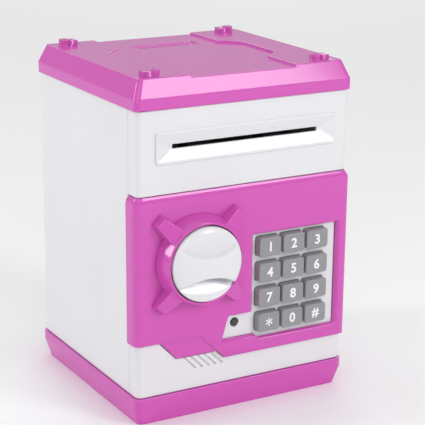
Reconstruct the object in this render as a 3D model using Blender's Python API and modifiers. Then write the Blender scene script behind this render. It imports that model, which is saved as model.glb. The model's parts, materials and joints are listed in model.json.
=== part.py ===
"""Toy safe coin bank with a keypad door, a knob, a note feeder and a coin lid.

Frame: +Z up, the front faces -Y, +X is to the right seen from the front.
The origin is on the floor, under the middle of the casing.
"""
import math

import bmesh
import bpy
from mathutils import Matrix

mm = 0.001

# Clearances
GAP = 0.3 * mm
RUNNING_GAP = 0.6 * mm

# Casing
BODY_WIDTH = 124.0 * mm
BODY_DEPTH = 116.4 * mm
CASING_HEIGHT = 149.3 * mm
CASING_RADIUS = 3.5 * mm
SHELL_WALL = 2.4 * mm
PANEL_WALL = 2.8 * mm
PANEL_WRAP = 9.2 * mm
FLOOR_HEADROOM = 2.6 * mm
FLOOR_THICKNESS = 2.0 * mm

# Base tray
BASE_HEIGHT = 15.0 * mm
BASE_CREASE = 10.2 * mm
BASE_OVERHANG = 1.1 * mm
BASE_TUCK = 2.6 * mm
BASE_FLOOR = 2.4 * mm
BASE_WALL = 2.4 * mm
TRIM_RADIUS = 4.0 * mm

# Lid
LID_RIM = 5.8 * mm
LID_SLOPE = 9.3 * mm
LID_OVERHANG = 1.0 * mm
LID_TUCK = 3.6 * mm
LID_WALL = 2.4 * mm
LID_PLATE = 2.8 * mm
LID_STEP = 1.2 * mm
STRIP_INNER = 30.3 * mm
STRIP_BAY = 40.8 * mm
BAY_REAR = 15.2 * mm
BAY_FRONT = -18.0 * mm
BAY_SLANT = 10.5 * mm
COIN_DIAMETER = 30.6 * mm
COIN_THICKNESS = 2.2 * mm
COIN_PLAY = 1.2 * mm
COIN_SLOT_FROM_REAR = 28.0 * mm
COIN_TROUGH_LENGTH = 39.6 * mm
COIN_TROUGH_WIDTH = 8.6 * mm
COIN_TROUGH_DEPTH = 0.5 * mm
LUG_HEIGHT = 3.0 * mm
LUG_DEPTH = 6.0 * mm
LUG_BLOCK = 4.6 * mm
LUG_FROM_SIDE = 8.0 * mm
LUG_FROM_FRONT = 7.6 * mm
LUG_FROM_REAR = 6.4 * mm

# Note slot
NOTE_WIDTH = 82.0 * mm
NOTE_PLAY = 2.8 * mm
NOTE_SLOT_HEIGHT = 2.2 * mm
NOTE_SLOT_LEVEL = 145.0 * mm
NOTE_SLOT_X = 1.0 * mm
NOTE_FRAME_END = 10.3 * mm
NOTE_FRAME_HEIGHT = 16.4 * mm
NOTE_FRAME_RISE = 1.0 * mm
NOTE_FRAME_LIP = 1.6 * mm
NOTE_FRAME_RADIUS = 2.0 * mm
NOTE_FUNNEL_DEPTH = 2.6 * mm

# Vent grooves
VENT_COUNT = 5
VENT_PITCH = 3.95 * mm
VENT_LENGTH = 9.8 * mm
VENT_WIDTH = 0.7 * mm
VENT_DEPTH = 0.8 * mm
VENT_LEVEL = 29.6 * mm

# Door
DOOR_RISE = 1.8 * mm
DOOR_SKIN = 2.4 * mm
DOOR_TOP = 121.2 * mm
DOOR_BEVEL_HEIGHT = 3.2 * mm
DOOR_BEVEL_DEPTH = 1.6 * mm
DOOR_BOTTOM = 29.6 * mm
DOOR_STEP_LEVEL = 44.0 * mm
STEP_FROM_BAY = 12.45 * mm
TAB_LEVEL = 33.7 * mm
TAB_LENGTH = 23.6 * mm
TAB_DROP = 0.9 * mm
TAB_SLANT = 9.9 * mm
DOOR_BOX_WALL = 1.6 * mm
DOOR_BOX_MARGIN = 12.0 * mm
DOOR_BOX_BEND = 1.5 * mm
KNUCKLE_SPACE = 2.6 * mm
DOOR_BOX_BAND = 3.6 * mm
COVER_THICKNESS = 1.7 * mm
KNUCKLE_RADIUS = 3.8 * mm
HINGE_PIN_RADIUS = 1.0 * mm
HINGE_PIN_LENGTH = 16.0 * mm
PANEL_REBATE = 1.4 * mm
OPENING_LAP = 0.9 * mm

# Knob and lock
KNOB_FROM_LEFT = 33.5 * mm
KNOB_LEVEL = 86.0 * mm
KNOB_RADIUS = 19.5 * mm
KNOB_RIM_RISE = 13.0 * mm
KNOB_CROWN = 3.4 * mm
KNOB_WALL = 2.0 * mm
COLLAR_LIP = 1.3 * mm
COLLAR_FLARE = 2.8 * mm
COLLAR_RISE = 11.2 * mm
COLLAR_FLOOR = 1.8 * mm
ARM_LENGTH = 9.4 * mm
ARM_ROOT_WIDTH = 10.4 * mm
ARM_TIP_WIDTH = 7.2 * mm
ARM_HEIGHT = 4.2 * mm
ARM_ROOT_HEIGHT = 6.6 * mm
SHAFT_RADIUS = 2.0 * mm
PINION_TEETH = 10
GEAR_MODULE = 1.0 * mm
BOLT_THICKNESS = 3.4 * mm
BOLT_HEIGHT = 6.0 * mm
BOLT_TURN = 90.0
BOLT_END = 2.546 * mm
PLUNGER_RADIUS = 1.6 * mm
PLUNGER_TRAVEL = 3.0 * mm
PLUNGER_FROM_KEYS = 18.85 * mm
SOLENOID_SIZE = 10.5 * mm

# Keypad
KEY_WIDTH = 13.1 * mm
KEY_HEIGHT = 10.2 * mm
KEY_RISE = 4.4 * mm
KEY_TRAVEL = 1.2 * mm
KEY_FLANGE = 0.5 * mm
KEY_FLANGE_THICKNESS = 1.0 * mm
KEY_SPACE_X = 1.4 * mm
KEY_SPACE_Z = 3.6 * mm
KEY_RADIUS = 1.6 * mm
KEY_BEVEL = 0.7 * mm
KEY_ROWS = (("1", "2", "3"), ("4", "5", "6"), ("7", "8", "9"), ("star", "0", "hash"))
KEYS_FROM_RIGHT = 14.35 * mm
KEYPAD_LEVEL = 65.9 * mm
KEYPAD_LEFT_MARGIN = 3.0 * mm
KEYPAD_RIGHT_MARGIN = 6.1 * mm
KEYPAD_TOP_MARGIN = 1.9 * mm
KEYPAD_BOTTOM_MARGIN = 2.9 * mm
POCKET_RIGHT_DRAFT = 2.5 * mm
POCKET_BOTTOM_DRAFT = 1.1 * mm
BEZEL_THICKNESS = 1.6 * mm
BEZEL_LAP = 0.9 * mm
LED_RADIUS = 2.2 * mm
LED_RISE = 1.5 * mm
LED_BAY_LENGTH = 13.7 * mm
LED_BAY_SLANT = 4.2 * mm
LED_BAY_TOP = 51.8 * mm
LED_BAY_STEP = 2.0 * mm
LED_LEVEL = 47.0 * mm
LED_FROM_BAY = 9.2 * mm
MAT_THICKNESS = 1.0 * mm
BOARD_THICKNESS = 1.4 * mm

# Note feeder
FEED_ROLLER_RADIUS = 6.0 * mm
PINCH_ROLLER_RADIUS = 4.0 * mm
ROLLER_WIDTH = 12.0 * mm
ROLLER_SPREAD = 22.0 * mm
FEED_SHAFT_RADIUS = 1.5 * mm
FEED_FROM_PANEL = 13.6 * mm
FEED_PLATE = 2.0 * mm
GEAR_TEETH = 24
MOTOR_TEETH = 8
GEAR_WIDTH = 3.0 * mm
MOTOR_RADIUS = 10.0 * mm
MOTOR_LENGTH = 25.0 * mm

# Power and sound
CELL_RADIUS = 7.1 * mm
CELL_LENGTH = 50.0 * mm
CELL_SPACE = 0.8 * mm
CELL_COUNT = 3
BATTERY_WALL = 3.6 * mm
BATTERY_FRONT = -19.8 * mm
BATTERY_ROOF = 1.6 * mm
CONTACT_THICKNESS = 0.5 * mm
TONGUE_THICKNESS = 3.8 * mm
SPEAKER_RADIUS = 12.0 * mm
SPEAKER_DEPTH = 5.0 * mm
MAIN_BOARD_LENGTH = 46.0 * mm
MAIN_BOARD_WIDTH = 20.0 * mm
MAIN_BOARD_LEVEL = 6.0 * mm

# Screws and posts
POST_RADIUS = 3.6 * mm
SCREW_RADIUS = 1.2 * mm
SCREW_HEAD_RADIUS = 2.6 * mm
SCREW_HEAD = 1.8 * mm
COVER_BOSS_RADIUS = 2.8 * mm
BOSS_SINK = 1.0 * mm
POST_FROM_SIDE = 11.0 * mm
TAB_THICKNESS = 2.6 * mm
LID_POST_DROP = 4.2 * mm

# Levels and faces that follow from the sizes above
CELL_PITCH = 2 * CELL_RADIUS + CELL_SPACE
BATTERY_Y = BATTERY_FRONT + CELL_COUNT * CELL_PITCH / 2 + GAP
BATTERY_TOP = BASE_FLOOR + 2 * GAP + 2 * CELL_RADIUS + 2 * GAP
FLOOR_LEVEL = BATTERY_TOP + BATTERY_ROOF + FLOOR_HEADROOM
HALF_WIDTH = BODY_WIDTH / 2
HALF_DEPTH = BODY_DEPTH / 2
BODY_BOTTOM = BASE_HEIGHT + GAP
BODY_TOP = BASE_HEIGHT + CASING_HEIGHT
LID_BOTTOM = BODY_TOP + GAP
LID_CREASE = LID_BOTTOM + LID_RIM
LID_TOP = LID_CREASE + LID_SLOPE
LID_FIELD = LID_TOP - LID_STEP
SEAM_Y = -HALF_DEPTH + PANEL_WRAP
PANEL_INNER_X = HALF_WIDTH - PANEL_WALL
PANEL_INNER_Y = -HALF_DEPTH + PANEL_WALL
DOOR_FACE = -HALF_DEPTH - DOOR_RISE
DOOR_INNER = DOOR_FACE + DOOR_SKIN
DOOR_HALF = HALF_WIDTH + DOOR_RISE
DOOR_REAR = SEAM_Y - 2 * GAP
HINGE_X = DOOR_HALF - KNUCKLE_RADIUS
HINGE_Y = DOOR_REAR - KNUCKLE_RADIUS
KNOB_X = -HALF_WIDTH + KNOB_FROM_LEFT
COLLAR_TOP_RADIUS = KNOB_RADIUS + RUNNING_GAP + COLLAR_LIP
COLLAR_BASE_RADIUS = COLLAR_TOP_RADIUS + COLLAR_FLARE
ARM_REACH = COLLAR_BASE_RADIUS + ARM_LENGTH
KEY_PITCH_X = KEY_WIDTH + KEY_SPACE_X
KEY_PITCH_Z = KEY_HEIGHT + KEY_SPACE_Z
KEYPAD_X = DOOR_HALF - KEYS_FROM_RIGHT - KEY_WIDTH / 2 - KEY_PITCH_X
KEYS_LEFT = KEYPAD_X - KEY_PITCH_X - KEY_WIDTH / 2
LED_BAY_LEFT = KEYS_LEFT - KEYPAD_LEFT_MARGIN - LED_BAY_LENGTH
DOOR_STEP_X = LED_BAY_LEFT - LED_BAY_SLANT - STEP_FROM_BAY
PLUNGER_X = KEYS_LEFT - KEY_FLANGE - PLUNGER_FROM_KEYS
BEZEL_FACE = DOOR_INNER + GAP
BEZEL_REAR = BEZEL_FACE + BEZEL_THICKNESS
KEY_FACE = BEZEL_FACE - KEY_RISE
MAT_FACE = BEZEL_REAR + GAP + KEY_FLANGE_THICKNESS + KEY_TRAVEL + GAP
BOARD_REAR = MAT_FACE + MAT_THICKNESS + GAP + BOARD_THICKNESS
COVER_FACE = BOARD_REAR + GAP
DOOR_BOX_REAR = COVER_FACE + COVER_THICKNESS
PINION_RADIUS = PINION_TEETH * GEAR_MODULE / 2
BOLT_TRAVEL = PINION_RADIUS * math.radians(BOLT_TURN)
BOLT_TAIL_X = PLUNGER_X + BOLT_TRAVEL + PLUNGER_RADIUS + BOLT_END
BOLT_FRONT = PANEL_INNER_Y + GAP + 0.1 * mm
NOTE_SLOT_WIDTH = NOTE_WIDTH + NOTE_PLAY
FEED_Y = PANEL_INNER_Y + FEED_FROM_PANEL
FEED_Z = NOTE_SLOT_LEVEL - GAP - FEED_ROLLER_RADIUS
PINCH_Z = NOTE_SLOT_LEVEL + GAP + PINCH_ROLLER_RADIUS
GEAR_CENTRES = (GEAR_TEETH + MOTOR_TEETH) * GEAR_MODULE / 2
MOTOR_Y = FEED_Y + GEAR_CENTRES * math.cos(math.radians(45.0))
MOTOR_Z = FEED_Z - GEAR_CENTRES * math.sin(math.radians(45.0))

AXIS_TURNS = {
    "X": Matrix(((0, 0, 1), (1, 0, 0), (0, 1, 0))).to_4x4(),
    "Y": Matrix(((1, 0, 0), (0, 0, -1), (0, 1, 0))).to_4x4(),
    "Z": Matrix.Identity(4),
}


def clear_scene():
    """Remove what the file holds, so that the model starts empty."""
    for item in list(bpy.data.objects):
        bpy.data.objects.remove(item)


def make_collection(name):
    """Add a collection to the scene."""
    collection = bpy.data.collections.new(name)
    bpy.context.scene.collection.children.link(collection)
    return collection


def make_material(name, colour, roughness, metallic=0.0):
    """Make a Principled material with one colour."""
    material = bpy.data.materials.new(name)
    material.use_nodes = True
    shader = material.node_tree.nodes["Principled BSDF"]
    shader.inputs["Base Color"].default_value = (*colour, 1.0)
    shader.inputs["Roughness"].default_value = roughness
    shader.inputs["Metallic"].default_value = metallic
    return material


def mesh_object(name, form):
    """Turn a bmesh into a free object."""
    mesh = bpy.data.meshes.new(name)
    bmesh.ops.recalc_face_normals(form, faces=form.faces)
    form.to_mesh(mesh)
    form.free()
    return bpy.data.objects.new(name, mesh)


def box(name, low, high):
    """A box between two corners."""
    form = bmesh.new()
    middle = [(a + b) / 2 for a, b in zip(low, high)]
    size = [b - a for a, b in zip(low, high)]
    place = Matrix.Translation(middle) @ Matrix.Diagonal((*size, 1.0))
    bmesh.ops.create_cube(form, size=1.0, matrix=place)
    return mesh_object(name, form)


def stepped_block(name, levels, radius=0.0, segments=4, place=None):
    """A block whose half sizes change along Z, given as (z, half x, half y), with round corners."""
    loops = []
    for _, half_x, half_y in levels:
        corners = [(-half_x, -half_y), (half_x, -half_y), (half_x, half_y), (-half_x, half_y)]
        loops.append(rounded_loop(corners, radius, segments) if radius > 0.0 else corners)
    form = bmesh.new()
    region = form.faces.new([form.verts.new((x, y, levels[0][0])) for x, y in loops[0]])
    for index, (level, _, _) in enumerate(levels[1:]):
        below = loops[index]
        above = loops[index + 1]
        extruded = bmesh.ops.extrude_face_region(form, geom=[region])["geom"]
        if index > 0:
            bmesh.ops.delete(form, geom=[region], context="FACES_ONLY")
        region = next(item for item in extruded if isinstance(item, bmesh.types.BMFace))
        for vert in region.verts:
            point = min(range(len(below)),
                        key=lambda i: abs(below[i][0] - vert.co.x) + abs(below[i][1] - vert.co.y))
            vert.co = (*above[point], level)
    if place is not None:
        bmesh.ops.transform(form, matrix=place, verts=form.verts)
    return mesh_object(name, form)


def cylinder(name, centre, radius, length, axis="Z", segments=24):
    """A cylinder about its centre, along X, Y or Z."""
    form = bmesh.new()
    place = Matrix.Translation(centre) @ AXIS_TURNS[axis]
    bmesh.ops.create_cone(form, cap_ends=True, segments=segments, radius1=radius, radius2=radius,
                          depth=length, matrix=place)
    return mesh_object(name, form)


def turned(name, profile, centre, axis="Z", steps=24):
    """A turned piece: (radius, height) points down its outer side. It is a ring if the last is the first."""
    mesh = bpy.data.meshes.new(name)
    ring = profile[0] == profile[-1]
    points = [(radius, 0.0, height) for radius, height in profile[:-1 if ring else None]]
    edges = [(index, index + 1) for index in range(len(points) - 1)]
    if ring:
        edges.append((len(points) - 1, 0))
    mesh.from_pydata(points, edges, [])
    piece = bpy.data.objects.new(name, mesh)
    piece.matrix_world = Matrix.Translation(centre) @ AXIS_TURNS[axis]
    screw = piece.modifiers.new("turn", "SCREW")
    screw.axis = "Z"
    screw.steps = steps
    screw.render_steps = steps
    screw.use_merge_vertices = True
    screw.merge_threshold = 0.000001
    return piece


def outline_solid(name, loops, start, end, axis="Y"):
    """A flat outline, which may have holes, made thick between two places along an axis."""
    curve = bpy.data.curves.new(name, "CURVE")
    curve.dimensions = "2D"
    curve.fill_mode = "BOTH"
    curve.extrude = (end - start) / 2
    for loop in loops:
        spline = curve.splines.new("POLY")
        spline.points.add(len(loop) - 1)
        for point, (across, up) in zip(spline.points, loop):
            point.co = (across, up, 0.0, 1.0)
        spline.use_cyclic_u = True
    guide = bpy.data.objects.new(name, curve)
    bpy.context.scene.collection.objects.link(guide)
    graph = bpy.context.evaluated_depsgraph_get()
    mesh = bpy.data.meshes.new_from_object(guide.evaluated_get(graph))
    bpy.data.objects.remove(guide)
    form = bmesh.new()
    form.from_mesh(mesh)
    bmesh.ops.remove_doubles(form, verts=form.verts, dist=0.000001)
    middle = (start + end) / 2
    shift = {"X": (middle, 0.0, 0.0), "Y": (0.0, middle, 0.0), "Z": (0.0, 0.0, middle)}[axis]
    bmesh.ops.transform(form, matrix=Matrix.Translation(shift) @ AXIS_TURNS[axis], verts=form.verts)
    bpy.data.meshes.remove(mesh)
    return mesh_object(name, form)


def tapered_outline(name, front_loop, rear_loop, front, rear):
    """A solid between two outlines of the same number of points, one in front of the other."""
    form = bmesh.new()
    verts = [form.verts.new((across, front, up)) for across, up in front_loop]
    face = form.faces.new(verts)
    extruded = bmesh.ops.extrude_face_region(form, geom=[face])["geom"]
    moved = [item for item in extruded if isinstance(item, bmesh.types.BMVert)]
    for vert in moved:
        index = min(range(len(front_loop)),
                    key=lambda i: abs(front_loop[i][0] - vert.co.x) + abs(front_loop[i][1] - vert.co.z))
        vert.co = (rear_loop[index][0], rear, rear_loop[index][1])
    return mesh_object(name, form)


def rounded_loop(points, radius, segments=3):
    """Round the corners of an outline that runs anticlockwise or clockwise."""
    loop = []
    count = len(points)
    for index, corner in enumerate(points):
        before = points[index - 1]
        after = points[(index + 1) % count]
        back = (before[0] - corner[0], before[1] - corner[1])
        ahead = (after[0] - corner[0], after[1] - corner[1])
        back_length = math.hypot(*back)
        ahead_length = math.hypot(*ahead)
        back = (back[0] / back_length, back[1] / back_length)
        ahead = (ahead[0] / ahead_length, ahead[1] / ahead_length)
        angle = math.acos(max(-1.0, min(1.0, back[0] * ahead[0] + back[1] * ahead[1])))
        reach = min(radius / math.tan(angle / 2), back_length * 0.45, ahead_length * 0.45)
        start = (corner[0] + back[0] * reach, corner[1] + back[1] * reach)
        end = (corner[0] + ahead[0] * reach, corner[1] + ahead[1] * reach)
        for step in range(segments + 1):
            part = step / segments
            weights = ((1 - part) ** 2, 2 * part * (1 - part), part ** 2)
            loop.append(tuple(weights[0] * a + weights[1] * b + weights[2] * c
                              for a, b, c in zip(start, corner, end)))
    return loop


def grown_loop(points, distance):
    """Move each side of an anticlockwise outline outward by a distance."""
    count = len(points)
    grown = []
    for index, corner in enumerate(points):
        before = points[index - 1]
        after = points[(index + 1) % count]
        first = (corner[0] - before[0], corner[1] - before[1])
        second = (after[0] - corner[0], after[1] - corner[1])
        first_length = math.hypot(*first)
        second_length = math.hypot(*second)
        normal_1 = (first[1] / first_length, -first[0] / first_length)
        normal_2 = (second[1] / second_length, -second[0] / second_length)
        share = 1.0 + normal_1[0] * normal_2[0] + normal_1[1] * normal_2[1]
        grown.append((corner[0] + distance * (normal_1[0] + normal_2[0]) / share,
                      corner[1] + distance * (normal_1[1] + normal_2[1]) / share))
    return grown


def gear_loop(teeth, centre, phase):
    """A toothed outline with straight-sided teeth, the first tooth at the phase angle."""
    pitch = teeth * GEAR_MODULE / 2
    root = pitch - 1.15 * GEAR_MODULE
    tip = pitch + 0.75 * GEAR_MODULE
    step = 2 * math.pi / teeth
    loop = []
    for tooth in range(teeth):
        middle = phase + tooth * step
        for radius, share in ((root, -0.29), (tip, -0.11), (tip, 0.11), (root, 0.29)):
            angle = middle + share * step
            loop.append((centre[0] + radius * math.cos(angle), centre[1] + radius * math.sin(angle)))
    return loop


def slot_loop(centre, half_width, half_height):
    """A rectangle outline, anticlockwise."""
    x, z = centre
    return [(x - half_width, z - half_height), (x + half_width, z - half_height),
            (x + half_width, z + half_height), (x - half_width, z + half_height)]


def combine(piece, tool, operation):
    """Cut a tool from a piece, or join it on, with a Boolean modifier."""
    tool.hide_render = True
    tool.display_type = "WIRE"
    if not tool.users_collection:
        CUTTERS.objects.link(tool)
    boolean = piece.modifiers.new(tool.name, "BOOLEAN")
    boolean.operation = operation
    boolean.solver = "EXACT"
    boolean.object = tool


def cut(piece, tool):
    combine(piece, tool, "DIFFERENCE")


def join(piece, tool):
    combine(piece, tool, "UNION")


def keep(piece, tool):
    combine(piece, tool, "INTERSECT")


def finish(piece, material, parent=None, smooth=False):
    """Put a piece in the object's collection, with its material and the axis it moves on."""
    PARTS.objects.link(piece)
    piece.data.materials.clear()
    piece.data.materials.append(material)
    if parent is not None:
        piece.parent = parent
        piece.matrix_parent_inverse = Matrix.Translation(AXIS_POINTS[parent.name]).inverted()
    if smooth:
        piece.data.shade_smooth()
        piece.data.set_sharp_from_angle(angle=math.radians(35.0))
    return piece


def axis_empty(name, point, parent=None):
    """An empty on a joint's axis."""
    empty = bpy.data.objects.new(name, None)
    empty.empty_display_size = 5.0 * mm
    empty.location = point
    AXIS_POINTS[name] = point
    AXES.objects.link(empty)
    if parent is not None:
        empty.parent = parent
        empty.matrix_parent_inverse = Matrix.Translation(AXIS_POINTS[parent.name]).inverted()
    return empty


def screw_piece(name, point, axis, direction, length, parent=None):
    """A pan-head screw: the underside of its head is at the point, its shank goes in the direction."""
    profile = [(0.0, SCREW_HEAD), (SCREW_HEAD_RADIUS * 0.7, SCREW_HEAD),
               (SCREW_HEAD_RADIUS, SCREW_HEAD * 0.55), (SCREW_HEAD_RADIUS, 0.0),
               (SCREW_RADIUS, 0.0), (SCREW_RADIUS, -length * 0.86), (0.0, -length)]
    piece = turned(name, profile, point, axis, steps=12)
    if direction > 0:
        piece.matrix_world = piece.matrix_world @ Matrix.Rotation(math.pi, 4, "X")
    return finish(piece, STEEL, parent, smooth=True)


def screw_hole(name, point, axis, length, radius=SCREW_RADIUS + GAP):
    """A cutter for a screw's shank, about its middle."""
    return cylinder(name, point, radius, length, axis, segments=12)


def casing_posts():
    """The places of the four posts near the casing's corners, as (side, end, x, y)."""
    places = []
    for side in (-1, 1):
        for end in (-1, 1):
            x = side * (HALF_WIDTH - POST_FROM_SIDE)
            y = end * (HALF_DEPTH - POST_FROM_SIDE)
            places.append((side, end, x, y))
    return places


def post_name(side, end):
    return ("left" if side < 0 else "right") + ("_front" if end < 0 else "_rear")


def door_loop(top=DOOR_TOP):
    """The door's outline with its finger tab, anticlockwise seen from the front."""
    tab_right = DOOR_STEP_X + TAB_SLANT
    tab_left = tab_right - TAB_LENGTH
    low_x = tab_right + (TAB_LEVEL - DOOR_BOTTOM)
    reach = DOOR_HALF + 10.0 * mm
    return [(-reach, DOOR_STEP_LEVEL), (tab_left - TAB_SLANT, DOOR_STEP_LEVEL), (tab_left, TAB_LEVEL),
            (tab_right, TAB_LEVEL), (low_x, DOOR_BOTTOM), (reach, DOOR_BOTTOM),
            (reach, top), (-reach, top)]


def tab_loop():
    """The lowered parallelogram of the finger tab, reaching past the door's lower edge."""
    right = DOOR_STEP_X + TAB_SLANT
    left = right - TAB_LENGTH
    past = 4.0 * mm
    return [(left, TAB_LEVEL - past), (right - past / 4, TAB_LEVEL - past), (right - GAP, TAB_LEVEL + GAP),
            (DOOR_STEP_X, DOOR_STEP_LEVEL), (left - TAB_SLANT + GAP, DOOR_STEP_LEVEL),
            (left - TAB_SLANT - past, DOOR_STEP_LEVEL - past)]


def door_box_loop():
    """The outline of the box behind the door's face."""
    left = -HALF_WIDTH + DOOR_BOX_MARGIN
    right = HINGE_X - KNUCKLE_RADIUS - KNUCKLE_SPACE
    low = DOOR_BOTTOM + DOOR_BOX_BAND
    step = DOOR_STEP_LEVEL + DOOR_BOX_BAND
    top = DOOR_TOP - DOOR_BOX_BAND
    bend = DOOR_STEP_X + DOOR_BOX_BEND
    return [(left, step), (bend, step), (bend + step - low, low), (right, low), (right, top), (left, top)]


def keypad_loops():
    """The keypad pocket's outline at the bezel and at the door's face, anticlockwise."""
    left = KEYS_LEFT - KEYPAD_LEFT_MARGIN
    right = KEYPAD_X + KEY_PITCH_X + KEY_WIDTH / 2 + KEYPAD_RIGHT_MARGIN
    top = KEYPAD_LEVEL + 1.5 * KEY_PITCH_Z + KEY_HEIGHT / 2 + KEYPAD_TOP_MARGIN
    low = KEYPAD_LEVEL - 1.5 * KEY_PITCH_Z - KEY_HEIGHT / 2 - KEYPAD_BOTTOM_MARGIN
    bay_low = low + LED_BAY_STEP
    bezel = [(LED_BAY_LEFT - LED_BAY_SLANT, bay_low), (left + 1.8 * mm, bay_low), (left + 4.2 * mm, low),
             (right, low), (right, top), (left, top), (left, LED_BAY_TOP), (LED_BAY_LEFT, LED_BAY_TOP)]
    drafts = [(-0.2 * mm, -POCKET_BOTTOM_DRAFT), (0.6 * mm, -POCKET_BOTTOM_DRAFT),
              (0.6 * mm, -POCKET_BOTTOM_DRAFT), (POCKET_RIGHT_DRAFT, -POCKET_BOTTOM_DRAFT),
              (POCKET_RIGHT_DRAFT, 0.4 * mm), (-0.2 * mm, 0.4 * mm), (-0.2 * mm, 0.2 * mm),
              (-0.2 * mm, 0.2 * mm)]
    face = [(x + dx, z + dz) for (x, z), (dx, dz) in zip(bezel, drafts)]
    return bezel, face


def key_places():
    """Each key's name and the middle of its face."""
    places = []
    for row, names in enumerate(KEY_ROWS):
        for column, name in enumerate(names):
            x = KEYPAD_X + (column - 1) * KEY_PITCH_X
            z = KEYPAD_LEVEL + (1.5 - row) * KEY_PITCH_Z
            places.append((name, x, z))
    return places


def make_base_tray():
    """The pink tray: it narrows to the floor and holds the battery box, speaker seat and posts."""
    outer_x = HALF_WIDTH + BASE_OVERHANG
    outer_y = HALF_DEPTH + BASE_OVERHANG
    tray = stepped_block("base_tray", [(0.0, outer_x - BASE_TUCK, outer_y - BASE_TUCK),
                                       (BASE_CREASE, outer_x, outer_y), (BASE_HEIGHT, outer_x, outer_y)],
                         TRIM_RADIUS)
    inner_x = outer_x - BASE_WALL
    inner_y = outer_y - BASE_WALL
    cavity = stepped_block("base_cavity", [(BASE_FLOOR, inner_x - BASE_TUCK, inner_y - BASE_TUCK),
                                           (BASE_CREASE, inner_x, inner_y),
                                           (BASE_HEIGHT + 1.0 * mm, inner_x, inner_y)], TRIM_RADIUS * 0.5)
    cut(tray, cavity)
    half_x, half_y = battery_bay()
    block = box("battery_block", (-half_x - BATTERY_WALL, BATTERY_Y - half_y - BATTERY_WALL, BASE_FLOOR / 2),
                (half_x + BATTERY_WALL, BATTERY_Y + half_y + BATTERY_WALL, BATTERY_TOP + BATTERY_ROOF))
    join(tray, block)
    front, screw_y, half_tongue = battery_tongue()
    join(tray, box("battery_tongue_block", (-half_tongue - 2.0 * mm, front - 2.0 * mm, BASE_FLOOR / 2),
                   (half_tongue + 2.0 * mm, BATTERY_Y - half_y, BASE_FLOOR + 7.0 * mm)))
    bay = box("battery_bay", (-half_x, BATTERY_Y - half_y, -1.0 * mm),
              (half_x, BATTERY_Y + half_y, BATTERY_TOP))
    cut(tray, bay)
    lap = BATTERY_WALL / 2
    seat = box("battery_cover_seat", (-half_x - lap, BATTERY_Y - half_y - lap, -1.0 * mm),
               (half_x + lap, BATTERY_Y + half_y + lap, BASE_FLOOR + GAP))
    cut(tray, seat)
    for side, end, x, y in casing_posts():
        label = post_name(side, end)
        join(tray, cylinder("base_post_" + label, (x, y, BASE_HEIGHT / 2 + 0.5 * mm), POST_RADIUS,
                            BASE_HEIGHT - 1.0 * mm, segments=16))
        cut(tray, screw_hole("base_hole_" + label, (x, y, BASE_HEIGHT / 2), "Z", BASE_HEIGHT + 8.0 * mm))
        cut(tray, cylinder("base_sink_" + label, (x, y, 0.0), SCREW_HEAD_RADIUS + GAP,
                           2 * (SCREW_HEAD + 3 * GAP), segments=16))
    x, y = speaker_place()
    for index in range(6):
        angle = index * math.pi / 3
        hole = (x + 5.0 * mm * math.cos(angle), y + 5.0 * mm * math.sin(angle), BASE_FLOOR / 2)
        cut(tray, cylinder("speaker_hole_%d" % index, hole, 1.2 * mm, BASE_FLOOR * 3, segments=8))
    board_x, board_y = main_board_place()
    for side in (-1, 1):
        stand = (board_x + side * MAIN_BOARD_LENGTH * 0.36, board_y, MAIN_BOARD_LEVEL / 2)
        join(tray, cylinder("board_stand_%d" % (side + 1), stand, 2.0 * mm, MAIN_BOARD_LEVEL - 2 * GAP,
                            segments=12))
    cut(tray, box("battery_tongue_seat", (-half_tongue, front, -1.0 * mm),
                  (half_tongue, BATTERY_Y - half_y, TONGUE_THICKNESS + GAP)))
    cut(tray, screw_hole("battery_screw_hole", (0.0, screw_y, BASE_FLOOR), "Z", 12.0 * mm))
    return finish(tray, PINK)


def battery_bay():
    """Half sizes of the battery space."""
    half_x = CELL_LENGTH / 2 + CONTACT_THICKNESS + 4 * GAP
    half_y = CELL_COUNT * CELL_PITCH / 2 + GAP
    return half_x, half_y


def battery_tongue():
    """The front edge, screw place and half width of the tongue that holds the battery cover."""
    half_y = battery_bay()[1]
    front = BATTERY_Y - half_y - BATTERY_WALL - 5.0 * mm
    return front, front + 3.4 * mm, 5.0 * mm


def speaker_place():
    half_x = battery_bay()[0]
    edge = HALF_WIDTH + BASE_OVERHANG - BASE_TUCK - BASE_WALL
    x = (half_x + BATTERY_WALL + edge) / 2
    return x, BATTERY_Y + 12.0 * mm


def main_board_place():
    """The middle of the main board, between the battery tongue and the front wall."""
    front = -HALF_DEPTH + BASE_TUCK + BASE_WALL
    return 0.0, (front + battery_tongue()[0] - 2.0 * mm) / 2


def make_battery_cover():
    """The flush cover under the cells, with a tongue for its screw."""
    half_x, half_y = battery_bay()
    lap = BATTERY_WALL / 2 - GAP
    front, screw_y, half_tongue = battery_tongue()
    cover = box("battery_cover", (-half_x - lap, BATTERY_Y - half_y - lap, 0.0),
                (half_x + lap, BATTERY_Y + half_y + lap, BASE_FLOOR))
    join(cover, box("battery_cover_tongue", (-half_tongue + GAP, front + GAP, 0.0),
                    (half_tongue - GAP, BATTERY_Y, BASE_FLOOR)))
    join(cover, box("battery_cover_pad", (-half_tongue + GAP, front + GAP, 0.0),
                    (half_tongue - GAP, BATTERY_Y - half_y - GAP, TONGUE_THICKNESS)))
    cut(cover, screw_hole("cover_screw_hole", (0.0, screw_y, 0.0), "Z", 12.0 * mm))
    cut(cover, cylinder("cover_screw_sink", (0.0, screw_y, 0.0), SCREW_HEAD_RADIUS + GAP,
                        2 * (SCREW_HEAD + 2 * GAP), segments=16))
    finish(cover, PINK)
    screw_piece("battery_screw", (0.0, screw_y, SCREW_HEAD + GAP), "Z", 1, 5.0 * mm)


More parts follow.
